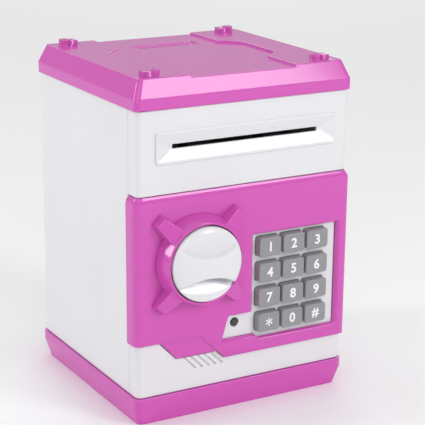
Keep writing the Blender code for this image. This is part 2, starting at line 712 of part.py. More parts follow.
def make_cells():
    """Three cells side by side, with a contact plate at each end."""
    half_x, half_y = battery_bay()
    level = BASE_FLOOR + 2 * GAP + CELL_RADIUS
    nub = 1.2 * mm
    for index in range(CELL_COUNT):
        y = BATTERY_Y + (index - (CELL_COUNT - 1) / 2) * CELL_PITCH
        profile = [(0.0, CELL_LENGTH / 2), (2.6 * mm, CELL_LENGTH / 2), (2.6 * mm, CELL_LENGTH / 2 - nub),
                   (CELL_RADIUS, CELL_LENGTH / 2 - nub), (CELL_RADIUS, -CELL_LENGTH / 2),
                   (0.0, -CELL_LENGTH / 2)]
        cell = turned("battery_cell_%d" % (index + 1), profile, (0.0, y, level), "X", steps=16)
        finish(cell, CELL_JACKET, smooth=True)
    for side, label in ((-1, "left"), (1, "right")):
        inner = CELL_LENGTH / 2 + GAP
        low_x, high_x = sorted((side * inner, side * (inner + CONTACT_THICKNESS)))
        plate = box("battery_contact_" + label, (low_x, BATTERY_Y - half_y + 1.0 * mm, level - 5.0 * mm),
                    (high_x, BATTERY_Y + half_y - 1.0 * mm, level + 5.0 * mm))
        finish(plate, STEEL)


def make_base_electronics():
    """The speaker over its holes and the main board on its stands."""
    x, y = speaker_place()
    floor = BASE_FLOOR + GAP
    profile = [(0.0, SPEAKER_DEPTH), (5.5 * mm, SPEAKER_DEPTH), (6.5 * mm, SPEAKER_DEPTH * 0.5),
               (SPEAKER_RADIUS, SPEAKER_DEPTH * 0.3), (SPEAKER_RADIUS, 0.0), (0.0, 0.0)]
    finish(turned("speaker", profile, (x, y, floor), "Z", steps=24), BLACK_PLASTIC, smooth=True)
    x, y = main_board_place()
    board = box("main_board", (x - MAIN_BOARD_LENGTH / 2, y - MAIN_BOARD_WIDTH / 2, MAIN_BOARD_LEVEL),
                (x + MAIN_BOARD_LENGTH / 2, y + MAIN_BOARD_WIDTH / 2, MAIN_BOARD_LEVEL + BOARD_THICKNESS))
    finish(board, BOARD_GREEN)


def make_body_shell():
    """The white U of side and rear walls, with the floor of the money space and corner tabs."""
    levels = [(BODY_BOTTOM, HALF_WIDTH, HALF_DEPTH), (BODY_TOP, HALF_WIDTH, HALF_DEPTH)]
    shell = stepped_block("body_shell", levels, CASING_RADIUS)
    inner_x = HALF_WIDTH - SHELL_WALL
    inner_y = HALF_DEPTH - SHELL_WALL
    floor_top = FLOOR_LEVEL + FLOOR_THICKNESS
    cut(shell, stepped_block("shell_upper_space", [(floor_top, inner_x, inner_y),
                                                   (BODY_TOP + 1.0 * mm, inner_x, inner_y)], 1.5 * mm))
    cut(shell, stepped_block("shell_lower_space", [(BODY_BOTTOM - 1.0 * mm, inner_x, inner_y),
                                                   (FLOOR_LEVEL, inner_x, inner_y)], 1.5 * mm))
    reach = HALF_WIDTH + 10.0 * mm
    cut(shell, box("shell_front_open", (-reach, -reach, 0.0), (reach, SEAM_Y, BODY_TOP + 5.0 * mm)))
    tongue_x = HALF_WIDTH - POST_FROM_SIDE - POST_RADIUS - 2.0 * mm
    join(shell, box("shell_floor_tongue", (-tongue_x, PANEL_INNER_Y + GAP, FLOOR_LEVEL),
                    (tongue_x, SEAM_Y + 5.0 * mm, floor_top)))
    tab_top = lid_post_bottom() - GAP
    for side, end, x, y in casing_posts():
        if end > 0:
            label = post_name(side, end)
            low_x, high_x = sorted((side * (inner_x + 1.0 * mm), x - side * (POST_RADIUS + 0.8 * mm)))
            join(shell, box("shell_tab_" + label,
                            (low_x, y - POST_RADIUS - 0.8 * mm, tab_top - TAB_THICKNESS),
                            (high_x, inner_y + 1.0 * mm, tab_top)))
            cut(shell, screw_hole("shell_tab_hole_" + label, (x, y, tab_top), "Z", 12.0 * mm))
            join(shell, cylinder("shell_boss_" + label, (x, y, (BODY_BOTTOM + FLOOR_LEVEL) / 2 + 0.5 * mm),
                                 POST_RADIUS, FLOOR_LEVEL - BODY_BOTTOM + 1.0 * mm, segments=16))
            cut(shell, screw_hole("shell_boss_hole_" + label, (x, y, BODY_BOTTOM), "Z",
                                  2 * (FLOOR_LEVEL - BODY_BOTTOM)))
    return finish(shell, WHITE)


def lid_post_bottom():
    return BODY_TOP - LID_POST_DROP


def make_front_panel():
    """The white front that wraps both corners: door recess, note frame, vents and hinge posts."""
    levels = [(BODY_BOTTOM, HALF_WIDTH, HALF_DEPTH), (BODY_TOP, HALF_WIDTH, HALF_DEPTH)]
    panel = stepped_block("front_panel", levels, CASING_RADIUS)
    high = BODY_TOP + 1.0 * mm
    cut(panel, stepped_block("panel_inner_space", [(BODY_BOTTOM - 1.0 * mm, PANEL_INNER_X, -PANEL_INNER_Y),
                                                   (high, PANEL_INNER_X, -PANEL_INNER_Y)], 1.2 * mm))
    reach = HALF_WIDTH + 10.0 * mm
    cut(panel, box("panel_rear_open", (-reach, SEAM_Y - GAP, 0.0), (reach, reach, high)))
    recess = outline_solid("panel_recess", [grown_loop(door_loop(), GAP)], -reach, SEAM_Y + 1.0 * mm)
    core_x = HALF_WIDTH - PANEL_REBATE
    core_y = HALF_DEPTH - PANEL_REBATE
    cut(recess, stepped_block("panel_recess_core", [(0.0, core_x, core_y), (high, core_x, core_y)],
                              CASING_RADIUS - 1.0 * mm))
    cut(panel, recess)
    opening = grown_loop(door_box_loop(), OPENING_LAP)
    cut(panel, outline_solid("panel_opening", [opening], -reach, SEAM_Y + 2.0 * mm))
    jamb = PANEL_INNER_X - 4.0 * mm
    low_z = DOOR_BOTTOM - GAP
    high_z = DOOR_TOP + GAP
    cut(panel, box("panel_hinge_bay", (jamb - 2.0 * mm, -reach, low_z), (reach, SEAM_Y, high_z)))
    block_low = FLOOR_LEVEL + FLOOR_THICKNESS + GAP
    block_high = high_z + 8.0 * mm
    for label, low, top in (("lower", block_low, low_z), ("upper", high_z, block_high)):
        join(panel, box("hinge_block_" + label, (jamb, -HALF_DEPTH + PANEL_WALL / 2, low),
                        (PANEL_INNER_X, SEAM_Y + 3.0 * mm, top)))
        join(panel, box("hinge_cheek_" + label, (jamb, -HALF_DEPTH + PANEL_WALL / 2, low),
                        (HALF_WIDTH - 1.0 * mm, SEAM_Y - GAP, top)))
    join(panel, box("hinge_jamb", (jamb, DOOR_REAR + RUNNING_GAP - 0.1 * mm, block_low + 1.0 * mm),
                    (PANEL_INNER_X, SEAM_Y + 3.0 * mm, block_high - 1.0 * mm)))
    for label, level in (("lower", low_z), ("upper", high_z)):
        cut(panel, cylinder("hinge_hole_" + label, (HINGE_X, HINGE_Y, level), HINGE_PIN_RADIUS + GAP,
                            HINGE_PIN_LENGTH - 2.0 * mm, segments=16))
    add_note_frame(panel)
    add_vents(panel)
    tab_top = lid_post_bottom() - GAP
    for side, end, x, y in casing_posts():
        if end < 0:
            label = post_name(side, end)
            low_x, high_x = sorted((side * PANEL_INNER_X, x - side * (POST_RADIUS + 0.8 * mm)))
            join(panel, box("panel_tab_" + label, (low_x, PANEL_INNER_Y - 1.0 * mm, tab_top - TAB_THICKNESS),
                            (high_x, y + POST_RADIUS + 0.8 * mm, tab_top)))
            cut(panel, screw_hole("panel_tab_hole_" + label, (x, y, tab_top), "Z", 12.0 * mm))
            boss_top = FLOOR_LEVEL + FLOOR_THICKNESS
            join(panel, box("panel_boss_" + label, (x - POST_RADIUS, PANEL_INNER_Y - 1.0 * mm, BODY_BOTTOM),
                            (x + POST_RADIUS, y + POST_RADIUS, FLOOR_LEVEL - GAP)))
            cut(panel, screw_hole("panel_boss_hole_" + label, (x, y, BODY_BOTTOM), "Z",
                                  2 * (boss_top - BODY_BOTTOM - 3.0 * mm)))
    return finish(panel, WHITE)


def add_note_frame(panel):
    """The raised frame around the note slot, with a hipped funnel down to the slot."""
    half_x = NOTE_SLOT_WIDTH / 2 + NOTE_FRAME_END
    half_z = NOTE_FRAME_HEIGHT / 2
    centre = (NOTE_SLOT_X, NOTE_SLOT_LEVEL)
    front = -HALF_DEPTH - NOTE_FRAME_RISE
    frame = rounded_loop(slot_loop(centre, half_x, half_z), NOTE_FRAME_RADIUS)
    join(panel, outline_solid("note_frame", [frame], front, -HALF_DEPTH + PANEL_WALL / 2))
    depth = NOTE_FUNNEL_DEPTH
    wide = (half_x - NOTE_FRAME_LIP, half_z - NOTE_FRAME_LIP)
    slot = (NOTE_SLOT_WIDTH / 2, NOTE_SLOT_HEIGHT / 2)
    grow = 1.0 * mm / depth
    outer = (wide[0] + (wide[0] - slot[0]) * grow, wide[1] + (wide[1] - slot[1]) * grow)
    place = Matrix.Translation((NOTE_SLOT_X, front, NOTE_SLOT_LEVEL)) @ AXIS_TURNS["Y"]
    cut(panel, stepped_block("note_funnel", [(-depth, *slot), (1.0 * mm, *outer)], place=place))
    cut(panel, box("note_slot_cut", (NOTE_SLOT_X - slot[0], front - 1.0 * mm, NOTE_SLOT_LEVEL - slot[1]),
                   (NOTE_SLOT_X + slot[0], PANEL_INNER_Y + 1.0 * mm, NOTE_SLOT_LEVEL + slot[1])))


def add_vents(panel):
    """Slanted grooves beside the door's step."""
    first = DOOR_STEP_X + TAB_SLANT + GAP
    turn = Matrix.Rotation(math.radians(45.0), 4, "Y")
    half = (VENT_LENGTH / 2, VENT_DEPTH, VENT_WIDTH / 2)
    for index in range(VENT_COUNT):
        groove = box("vent_%d" % (index + 1), tuple(-size for size in half), half)
        middle = (first - index * VENT_PITCH, -HALF_DEPTH, VENT_LEVEL)
        groove.data.transform(Matrix.Translation(middle) @ turn)
        cut(panel, groove)


def make_lid():
    """The pink lid: sloped sides, sunken field, coin slot, corner lugs and screw posts."""
    outer_x = HALF_WIDTH + LID_OVERHANG
    outer_y = HALF_DEPTH + LID_OVERHANG
    lid = stepped_block("lid", [(LID_BOTTOM, outer_x, outer_y), (LID_CREASE, outer_x, outer_y),
                                (LID_TOP, outer_x - LID_TUCK, outer_y - LID_TUCK)], TRIM_RADIUS * 0.75)
    inner_x = outer_x - LID_WALL
    inner_y = outer_y - LID_WALL
    roof = LID_FIELD - LID_PLATE
    cut(lid, stepped_block("lid_space", [(LID_BOTTOM - 1.0 * mm, inner_x, inner_y),
                                         (LID_CREASE, inner_x, inner_y),
                                         (roof, inner_x - LID_TUCK, inner_y - LID_TUCK)], 1.5 * mm))
    field = outline_solid("lid_field", [field_loop(outer_y + 5.0 * mm)], LID_FIELD, LID_TOP + 5.0 * mm, "Z")
    cut(lid, field)
    x, y = coin_slot_place()
    half_slot = (COIN_DIAMETER + COIN_PLAY) / 2
    cut(lid, box("coin_trough",
                 (x - COIN_TROUGH_LENGTH / 2, y - COIN_TROUGH_WIDTH / 2, LID_FIELD - COIN_TROUGH_DEPTH),
                 (x + COIN_TROUGH_LENGTH / 2, y + COIN_TROUGH_WIDTH / 2, LID_TOP)))
    half_gap = (COIN_THICKNESS + COIN_PLAY) / 2
    cut(lid, box("coin_slot", (x - half_slot, y - half_gap, roof - 2.0 * mm),
                 (x + half_slot, y + half_gap, LID_TOP)))
    add_lugs(lid, outer_x - LID_TUCK, outer_y - LID_TUCK)
    for side, end, x, y in casing_posts():
        label = post_name(side, end)
        bottom = lid_post_bottom()
        join(lid, cylinder("lid_post_" + label, (x, y, (bottom + roof + 1.0 * mm) / 2), POST_RADIUS,
                           roof + 1.0 * mm - bottom, segments=16))
        cut(lid, screw_hole("lid_post_hole_" + label, (x, y, bottom), "Z", 20.0 * mm))
    return finish(lid, PINK)


def field_loop(reach):
    """The sunken field of the lid: a band from front to rear that widens in a bay."""
    right = [(STRIP_INNER, -reach), (STRIP_INNER, BAY_FRONT - BAY_SLANT), (STRIP_BAY, BAY_FRONT),
             (STRIP_BAY, BAY_REAR), (STRIP_INNER, BAY_REAR + BAY_SLANT), (STRIP_INNER, reach)]
    left = [(-x, y) for x, y in reversed(right)]
    return right + left


def coin_slot_place():
    return 0.0, HALF_DEPTH - COIN_SLOT_FROM_REAR


def add_lugs(lid, plate_x, plate_y):
    """A block and a round boss near each corner of the lid; the rear ones are the other way round."""
    base = LID_TOP - 0.8 * mm
    top = LID_TOP + LUG_HEIGHT
    for side in (-1, 1):
        for end in (-1, 1):
            label = post_name(side, end)
            outer = plate_x - LUG_FROM_SIDE + 2.6 * mm
            edge = LUG_FROM_FRONT if end < 0 else LUG_FROM_REAR
            y = end * (plate_y - edge)
            radius = LUG_DEPTH / 2
            if end < 0:
                block_x = side * (outer - LUG_BLOCK / 2)
                boss_x = side * (outer - LUG_BLOCK - radius + 0.8 * mm)
            else:
                boss_x = side * (outer - radius)
                block_x = side * (outer - 2 * radius - LUG_BLOCK / 2 + 0.8 * mm)
            join(lid, box("lug_block_" + label, (block_x - LUG_BLOCK / 2, y - radius, base),
                          (block_x + LUG_BLOCK / 2, y + radius, top - 0.5 * mm)))
            join(lid, cylinder("lug_boss_" + label, (boss_x, y, (base + top) / 2), radius, top - base,
                               segments=20))
            cut(lid, cylinder("lug_dimple_" + label, (boss_x, y, top), radius * 0.4, 2.0 * mm, segments=10))


def make_casing_screws():
    """Four screws through the tray and four up into the lid's posts."""
    for side, end, x, y in casing_posts():
        label = post_name(side, end)
        screw_piece("base_screw_" + label, (x, y, SCREW_HEAD + 2 * GAP), "Z", 1, 16.0 * mm)
        under_tab = lid_post_bottom() - GAP - TAB_THICKNESS - GAP
        screw_piece("lid_screw_" + label, (x, y, under_tab), "Z", 1, 10.0 * mm)


def make_door(hinge):
    """The pink door: face and wraps in one skin, keypad pocket, box walls and hinge knuckle."""
    margin = 2.0 * mm
    bevel_top = DOOR_TOP - DOOR_BEVEL_HEIGHT
    levels = [(DOOR_BOTTOM - margin, DOOR_HALF, -DOOR_FACE), (bevel_top, DOOR_HALF, -DOOR_FACE),
              (DOOR_TOP, DOOR_HALF - DOOR_BEVEL_DEPTH, -DOOR_FACE - DOOR_BEVEL_DEPTH)]
    door = stepped_block("door_shell", levels, TRIM_RADIUS)
    reach = DOOR_HALF + 20.0 * mm
    keep(door, outline_solid("door_outline", [door_loop(DOOR_TOP + margin)], -reach, DOOR_REAR))
    inner_x = DOOR_HALF - DOOR_SKIN
    space = [(0.0, inner_x, -DOOR_INNER), (DOOR_TOP + 5.0 * mm, inner_x, -DOOR_INNER)]
    cut(door, stepped_block("door_space", space, TRIM_RADIUS - DOOR_SKIN + 0.6 * mm))
    cut(door, outline_solid("tab_drop", [tab_loop()], -reach, DOOR_FACE + TAB_DROP))
    join(door, cylinder("door_knuckle", (HINGE_X, HINGE_Y, (DOOR_BOTTOM + bevel_top) / 2), KNUCKLE_RADIUS,
                        bevel_top - DOOR_BOTTOM, segments=32))
    relief = box("knuckle_relief", (HINGE_X, HINGE_Y, 0.0), (reach, reach, DOOR_TOP + 5.0 * mm))
    cut(relief, cylinder("knuckle_relief_core", (HINGE_X, HINGE_Y, DOOR_TOP / 2), KNUCKLE_RADIUS - GAP / 2,
                         DOOR_TOP * 2, segments=32))
    cut(door, relief)
    for label, level in (("lower", DOOR_BOTTOM), ("upper", bevel_top)):
        cut(door, cylinder("knuckle_hole_" + label, (HINGE_X, HINGE_Y, level), HINGE_PIN_RADIUS + GAP,
                           HINGE_PIN_LENGTH + 2.0 * mm, segments=16))
    rim = door_box_loop()
    join(door, outline_solid("door_box", [rim, grown_loop(rim, -DOOR_BOX_WALL)], DOOR_FACE + DOOR_SKIN / 2,
                             BOARD_REAR))
    bezel, face = keypad_loops()
    reach_1 = 1.0 * mm / (DOOR_SKIN + GAP)
    outer = [(fx + (fx - bx) * reach_1, fz + (fz - bz) * reach_1) for (bx, bz), (fx, fz) in zip(bezel, face)]
    cut(door, tapered_outline("keypad_pocket", outer, bezel, DOOR_FACE - 1.0 * mm, BEZEL_FACE))
    clearance = grown_loop(bezel, BEZEL_LAP + GAP)
    cut(door, outline_solid("bezel_clearance", [clearance], DOOR_INNER, BEZEL_REAR + GAP))
    for index, (x, z) in enumerate(cover_screw_places()):
        join(door, cylinder("cover_boss_%d" % (index + 1), (x, (DOOR_INNER - BOSS_SINK + BOARD_REAR) / 2, z),
                            COVER_BOSS_RADIUS, BOARD_REAR - DOOR_INNER + BOSS_SINK, "Y", segments=16))
        cut(door, screw_hole("cover_boss_hole_%d" % (index + 1), (x, DOOR_BOX_REAR, z), "Y", 14.0 * mm))
    cut(door, cylinder("shaft_hole", (KNOB_X, DOOR_INNER, KNOB_LEVEL), SHAFT_RADIUS + RUNNING_GAP,
                       12.0 * mm, "Y"))
    low, high, _ = bolt_levels()
    cut(door, box("bolt_window", (-HALF_WIDTH, BOLT_FRONT - 2 * GAP, low - GAP),
                  (KNOB_X - COLLAR_BASE_RADIUS * 0.5, COVER_FACE, high + GAP)))
    return finish(door, PINK, hinge)


def cover_screw_places():
    """Screws in three corners of the door's box."""
    loop = door_box_loop()
    inset = DOOR_BOX_WALL + 2.4 * mm
    left, low = loop[0]
    right, top = loop[4]
    return [(left + inset, low + inset), (left + inset, top - inset), (right - inset, top - inset)]


def bolt_levels():
    """The lowest and highest points of the bolt's bar and the rack's pitch line."""
    pitch_line = KNOB_LEVEL + PINION_RADIUS
    low = pitch_line + GEAR_MODULE
    return low, low + BOLT_HEIGHT, pitch_line


def make_door_cover(hinge):
    """The flat cover behind the lock and keypad, with a bearing hole for the knob's shaft."""
    cover = outline_solid("door_cover", [door_box_loop()], COVER_FACE, DOOR_BOX_REAR)
    for index, (x, z) in enumerate(cover_screw_places()):
        cut(cover, screw_hole("cover_hole_%d" % (index + 1), (x, DOOR_BOX_REAR, z), "Y", 8.0 * mm))
    cut(cover, cylinder("cover_bearing", (KNOB_X, DOOR_BOX_REAR, KNOB_LEVEL), SHAFT_RADIUS + GAP,
                        8.0 * mm, "Y"))
    finish(cover, GREY_PLASTIC, hinge)
    for index, (x, z) in enumerate(cover_screw_places()):
        screw_piece("door_cover_screw_%d" % (index + 1), (x, DOOR_BOX_REAR + GAP, z), "Y", 1, 6.0 * mm, hinge)


def make_hinge_pins():
    """Two pins, each half in the panel's block and half in the door's knuckle."""
    bevel_top = DOOR_TOP - DOOR_BEVEL_HEIGHT
    reach = HINGE_PIN_LENGTH / 2 - 1.5 * mm
    for label, low, high in (("lower", DOOR_BOTTOM - reach + 0.5 * mm, DOOR_BOTTOM + reach),
                             ("upper", bevel_top - reach, DOOR_TOP + reach - 1.0 * mm)):
        pin = cylinder("hinge_pin_" + label, (HINGE_X, HINGE_Y, (low + high) / 2), HINGE_PIN_RADIUS,
                       high - low, segments=16)
        finish(pin, STEEL, smooth=True)


def make_collar(hinge):
    """The pink ring around the knob with four tapered arms."""
    base = DOOR_FACE - GAP
    top = -HALF_DEPTH - COLLAR_RISE
    bore = KNOB_RADIUS + RUNNING_GAP
    height = base - top
    floor = COLLAR_FLOOR
    profile = [(bore, height), (COLLAR_TOP_RADIUS, height), (COLLAR_BASE_RADIUS, 0.0),
               (SHAFT_RADIUS + RUNNING_GAP, 0.0), (SHAFT_RADIUS + RUNNING_GAP, floor), (bore, floor),
               (bore, height)]
    collar = turned("knob_collar", profile, (KNOB_X, base, KNOB_LEVEL), "Y", steps=40)
    root = bore + 1.2 * mm
    slope = (ARM_ROOT_HEIGHT - ARM_HEIGHT) / (ARM_REACH - COLLAR_BASE_RADIUS)
    inner_rise = ARM_HEIGHT + slope * (ARM_REACH - root)
    for index in range(4):
        form = bmesh.new()
        bmesh.ops.create_cube(form, size=1.0)
        for vert in form.verts:
            outward = vert.co.x > 0
            half = (ARM_TIP_WIDTH if outward else ARM_ROOT_WIDTH) / 2
            raised = vert.co.z > 0
            if raised:
                half -= 0.8 * mm
            rise = (ARM_HEIGHT if outward else inner_rise) if raised else 0.0
            along = (ARM_REACH - (1.2 * mm if raised else 0.0)) if outward else root
            vert.co = (along, math.copysign(half, vert.co.y), rise)
        turn = Matrix.Rotation(math.radians(45.0 + 90.0 * index), 4, "Z")
        place = Matrix.Translation((KNOB_X, base, KNOB_LEVEL)) @ AXIS_TURNS["Y"] @ turn
        bmesh.ops.transform(form, matrix=place, verts=form.verts)
        join(collar, mesh_object("collar_arm_%d" % (index + 1), form))
    return finish(collar, PINK, hinge, smooth=True)


def make_knob(axis):
    """The white knob: a domed cap with a grip left between two scoops, and a hub on its shaft."""
    face = -HALF_DEPTH - KNOB_RIM_RISE
    floor = DOOR_FACE - GAP - COLLAR_FLOOR - RUNNING_GAP
    depth = floor - face
    dome = [(KNOB_RADIUS * math.sin(math.radians(a)), KNOB_CROWN * math.cos(math.radians(a)))
            for a in (0.0, 18.0, 36.0, 54.0, 70.0)]
    inside = KNOB_RADIUS - KNOB_WALL
    under = -3.4 * mm
    profile = dome + [(KNOB_RADIUS, -0.4 * mm), (KNOB_RADIUS, -depth), (inside, -depth), (inside, under),
                      (SHAFT_RADIUS + 2.2 * mm, under), (SHAFT_RADIUS + 2.2 * mm, -depth),
                      (SHAFT_RADIUS + GAP, -depth), (SHAFT_RADIUS + GAP, under), (0.0, under)]
    knob = turned("knob", profile, (KNOB_X, face, KNOB_LEVEL), "Y", steps=40)
    for side, label in ((-1, "lower"), (1, "upper")):
        form = bmesh.new()
        bmesh.ops.create_uvsphere(form, u_segments=24, v_segments=12, radius=1.0)
        size = Matrix.Diagonal((15.5 * mm, 5.0 * mm, 9.0 * mm, 1.0))
        shift = Matrix.Translation((0.0, -KNOB_CROWN * 0.9, side * (KNOB_RADIUS - 5.6 * mm)))
        lean = Matrix.Rotation(math.radians(-6.0), 4, "Y")
        place = Matrix.Translation((KNOB_X, face, KNOB_LEVEL)) @ lean @ shift @ size
        bmesh.ops.transform(form, matrix=place, verts=form.verts)
        cut(knob, mesh_object("knob_scoop_" + label, form))
    finish(knob, WHITE, axis, smooth=True)
    make_pinion_shaft(axis, face - under)


def make_pinion_shaft(axis, front):
    """The shaft from the knob's hub to the cover, with the pinion that drives the bolt."""
    rear = DOOR_BOX_REAR - GAP
    start = front + 3.0 * GAP
    shaft = cylinder("pinion_shaft", (KNOB_X, (start + rear) / 2, KNOB_LEVEL), SHAFT_RADIUS,
                     rear - start, "Y")
    phase = math.pi / 2 - math.pi / PINION_TEETH
    loop = gear_loop(PINION_TEETH, (KNOB_X, KNOB_LEVEL), phase)
    join(shaft, outline_solid("pinion", [loop], BOLT_FRONT, BOLT_FRONT + BOLT_THICKNESS))
    return finish(shaft, GREY_PLASTIC, axis)


def make_bolt(axis):
    """The sliding bolt: a bar with a rack under it and two notches for the plunger."""
    low, high, pitch_line = bolt_levels()
    tip = door_box_loop()[0][0] + GAP
    notch_low = high - PLUNGER_TRAVEL - 2 * GAP
    half_notch = PLUNGER_RADIUS + GAP
    root_line = pitch_line + 1.15 * GEAR_MODULE
    tooth_tip = pitch_line - 0.75 * GEAR_MODULE
    pitch = math.pi * GEAR_MODULE
    loop = [(tip, root_line)]
    for tooth in range(-1, 4):
        middle = KNOB_X + tooth * pitch
        loop += [(middle - 0.29 * pitch, root_line), (middle - 0.11 * pitch, tooth_tip),
                 (middle + 0.11 * pitch, tooth_tip), (middle + 0.29 * pitch, root_line)]
    loop += [(BOLT_TAIL_X, root_line), (BOLT_TAIL_X, high)]
    for middle in (PLUNGER_X + BOLT_TRAVEL, PLUNGER_X):
        loop += [(middle + half_notch, high), (middle + half_notch, notch_low),
                 (middle - half_notch, notch_low), (middle - half_notch, high)]
    loop.append((tip, high))
    bolt = outline_solid("lock_bolt", [loop], BOLT_FRONT, BOLT_FRONT + BOLT_THICKNESS)
    return finish(bolt, GREY_PLASTIC, axis)


def make_solenoid(hinge, plunger_axis):
    """The coil body above the bolt and the plunger that drops into the bolt's notch."""
    high = bolt_levels()[1]
    x = PLUNGER_X
    y = BOLT_FRONT + BOLT_THICKNESS / 2
    bottom = high + 2.0 * mm
    half_depth = (BOARD_REAR - DOOR_INNER) / 2 - GAP
    middle_y = DOOR_INNER + GAP + half_depth
    coil = box("solenoid_body", (x - SOLENOID_SIZE / 2, middle_y - half_depth, bottom),
               (x + SOLENOID_SIZE / 2, middle_y + half_depth, bottom + SOLENOID_SIZE))
    cut(coil, cylinder("solenoid_bore", (x, y, bottom + SOLENOID_SIZE / 2), PLUNGER_RADIUS + GAP,
                       SOLENOID_SIZE * 2, segments=16))
    finish(coil, STEEL, hinge)
    head = bottom + SOLENOID_SIZE + PLUNGER_TRAVEL + GAP - high
    profile = [(0.0, head + 1.0 * mm), (PLUNGER_RADIUS + 0.8 * mm, head + 1.0 * mm),
               (PLUNGER_RADIUS + 0.8 * mm, head), (PLUNGER_RADIUS, head), (PLUNGER_RADIUS, 2 * GAP),
               (PLUNGER_RADIUS - 0.4 * mm, GAP), (0.0, GAP)]
    finish(turned("solenoid_plunger", profile, (x, y, high), "Z", steps=16), STEEL, plunger_axis, smooth=True)


def make_keypad(hinge):
    """The white bezel, the mat, the board and the LED."""
    bezel_loop = grown_loop(keypad_loops()[0], BEZEL_LAP)
    bezel = outline_solid("keypad_bezel", [bezel_loop], BEZEL_FACE, BEZEL_REAR)
    for name, x, z in key_places():
        hole = rounded_loop(slot_loop((x, z), KEY_WIDTH / 2 + GAP, KEY_HEIGHT / 2 + GAP), KEY_RADIUS)
        cut(bezel, outline_solid("key_hole_" + name, [hole], BEZEL_FACE - 1.0 * mm, BEZEL_REAR + 1.0 * mm))
    led_x, led_z = led_place()
    cut(bezel, cylinder("led_hole", (led_x, BEZEL_FACE, led_z), LED_RADIUS + GAP, 8.0 * mm, "Y"))
    finish(bezel, WHITE, hinge)
    reach_x = KEY_PITCH_X + KEY_WIDTH / 2 + KEY_FLANGE
    reach_z = 1.5 * KEY_PITCH_Z + KEY_HEIGHT / 2 + KEY_FLANGE
    mat = box("keypad_mat", (KEYPAD_X - reach_x, MAT_FACE, KEYPAD_LEVEL - reach_z),
              (KEYPAD_X + reach_x, MAT_FACE + MAT_THICKNESS, KEYPAD_LEVEL + reach_z))
    finish(mat, RUBBER, hinge)
    board_face = MAT_FACE + MAT_THICKNESS + GAP
    bolt_low = bolt_levels()[0]
    board = box("keypad_board", (led_x - LED_RADIUS - 1.0 * mm, board_face, KEYPAD_LEVEL - reach_z),
                (KEYPAD_X + reach_x, board_face + BOARD_THICKNESS,
                 min(KEYPAD_LEVEL + reach_z, bolt_low - 1.5 * mm)))
    finish(board, BOARD_GREEN, hinge)
    profile = [(0.0, LED_RISE)]
    for angle in (30.0, 60.0, 90.0):
        turn = math.radians(angle)
        profile.append((LED_RADIUS * math.sin(turn), LED_RISE - LED_RADIUS * 0.7 * (1 - math.cos(turn))))
    back = board_face - GAP - BEZEL_FACE
    profile += [(LED_RADIUS, -BEZEL_THICKNESS - GAP), (LED_RADIUS + 0.6 * mm, -BEZEL_THICKNESS - GAP),
                (LED_RADIUS + 0.6 * mm, -back), (0.0, -back)]
    led = turned("led", profile, (led_x, BEZEL_FACE, led_z), "Y", steps=20)
    finish(led, BLACK_PLASTIC, hinge, smooth=True)


def led_place():
    """The middle of the LED, in the bay to the left of the keys."""
    return KEYS_LEFT - KEYPAD_LEFT_MARGIN - LED_FROM_BAY, LED_LEVEL


def make_keys(hinge):
    """Twelve keys that share one shape: a bevelled cap and a flange behind the bezel."""
    back = BEZEL_REAR + GAP
    rise = back - KEY_FACE
    half_x = KEY_WIDTH / 2
    half_z = KEY_HEIGHT / 2
    turn = AXIS_TURNS["Y"]
    for name, x, z in key_places():
        key = stepped_block("key_" + name, [(-0.4 * mm, half_x, half_z), (rise - KEY_BEVEL, half_x, half_z),
                                            (rise, half_x - KEY_BEVEL, half_z - KEY_BEVEL)],
                            KEY_RADIUS, segments=3, place=turn)
        flange = stepped_block("key_flange_" + name,
                               [(-KEY_FLANGE_THICKNESS, half_x + KEY_FLANGE, half_z + KEY_FLANGE),
                                (0.0, half_x + KEY_FLANGE, half_z + KEY_FLANGE)], place=turn)
        key.location = (x, back, z)
        flange.location = (x, back, z)
        join(key, flange)
        finish(key, KEY_GREY, hinge)


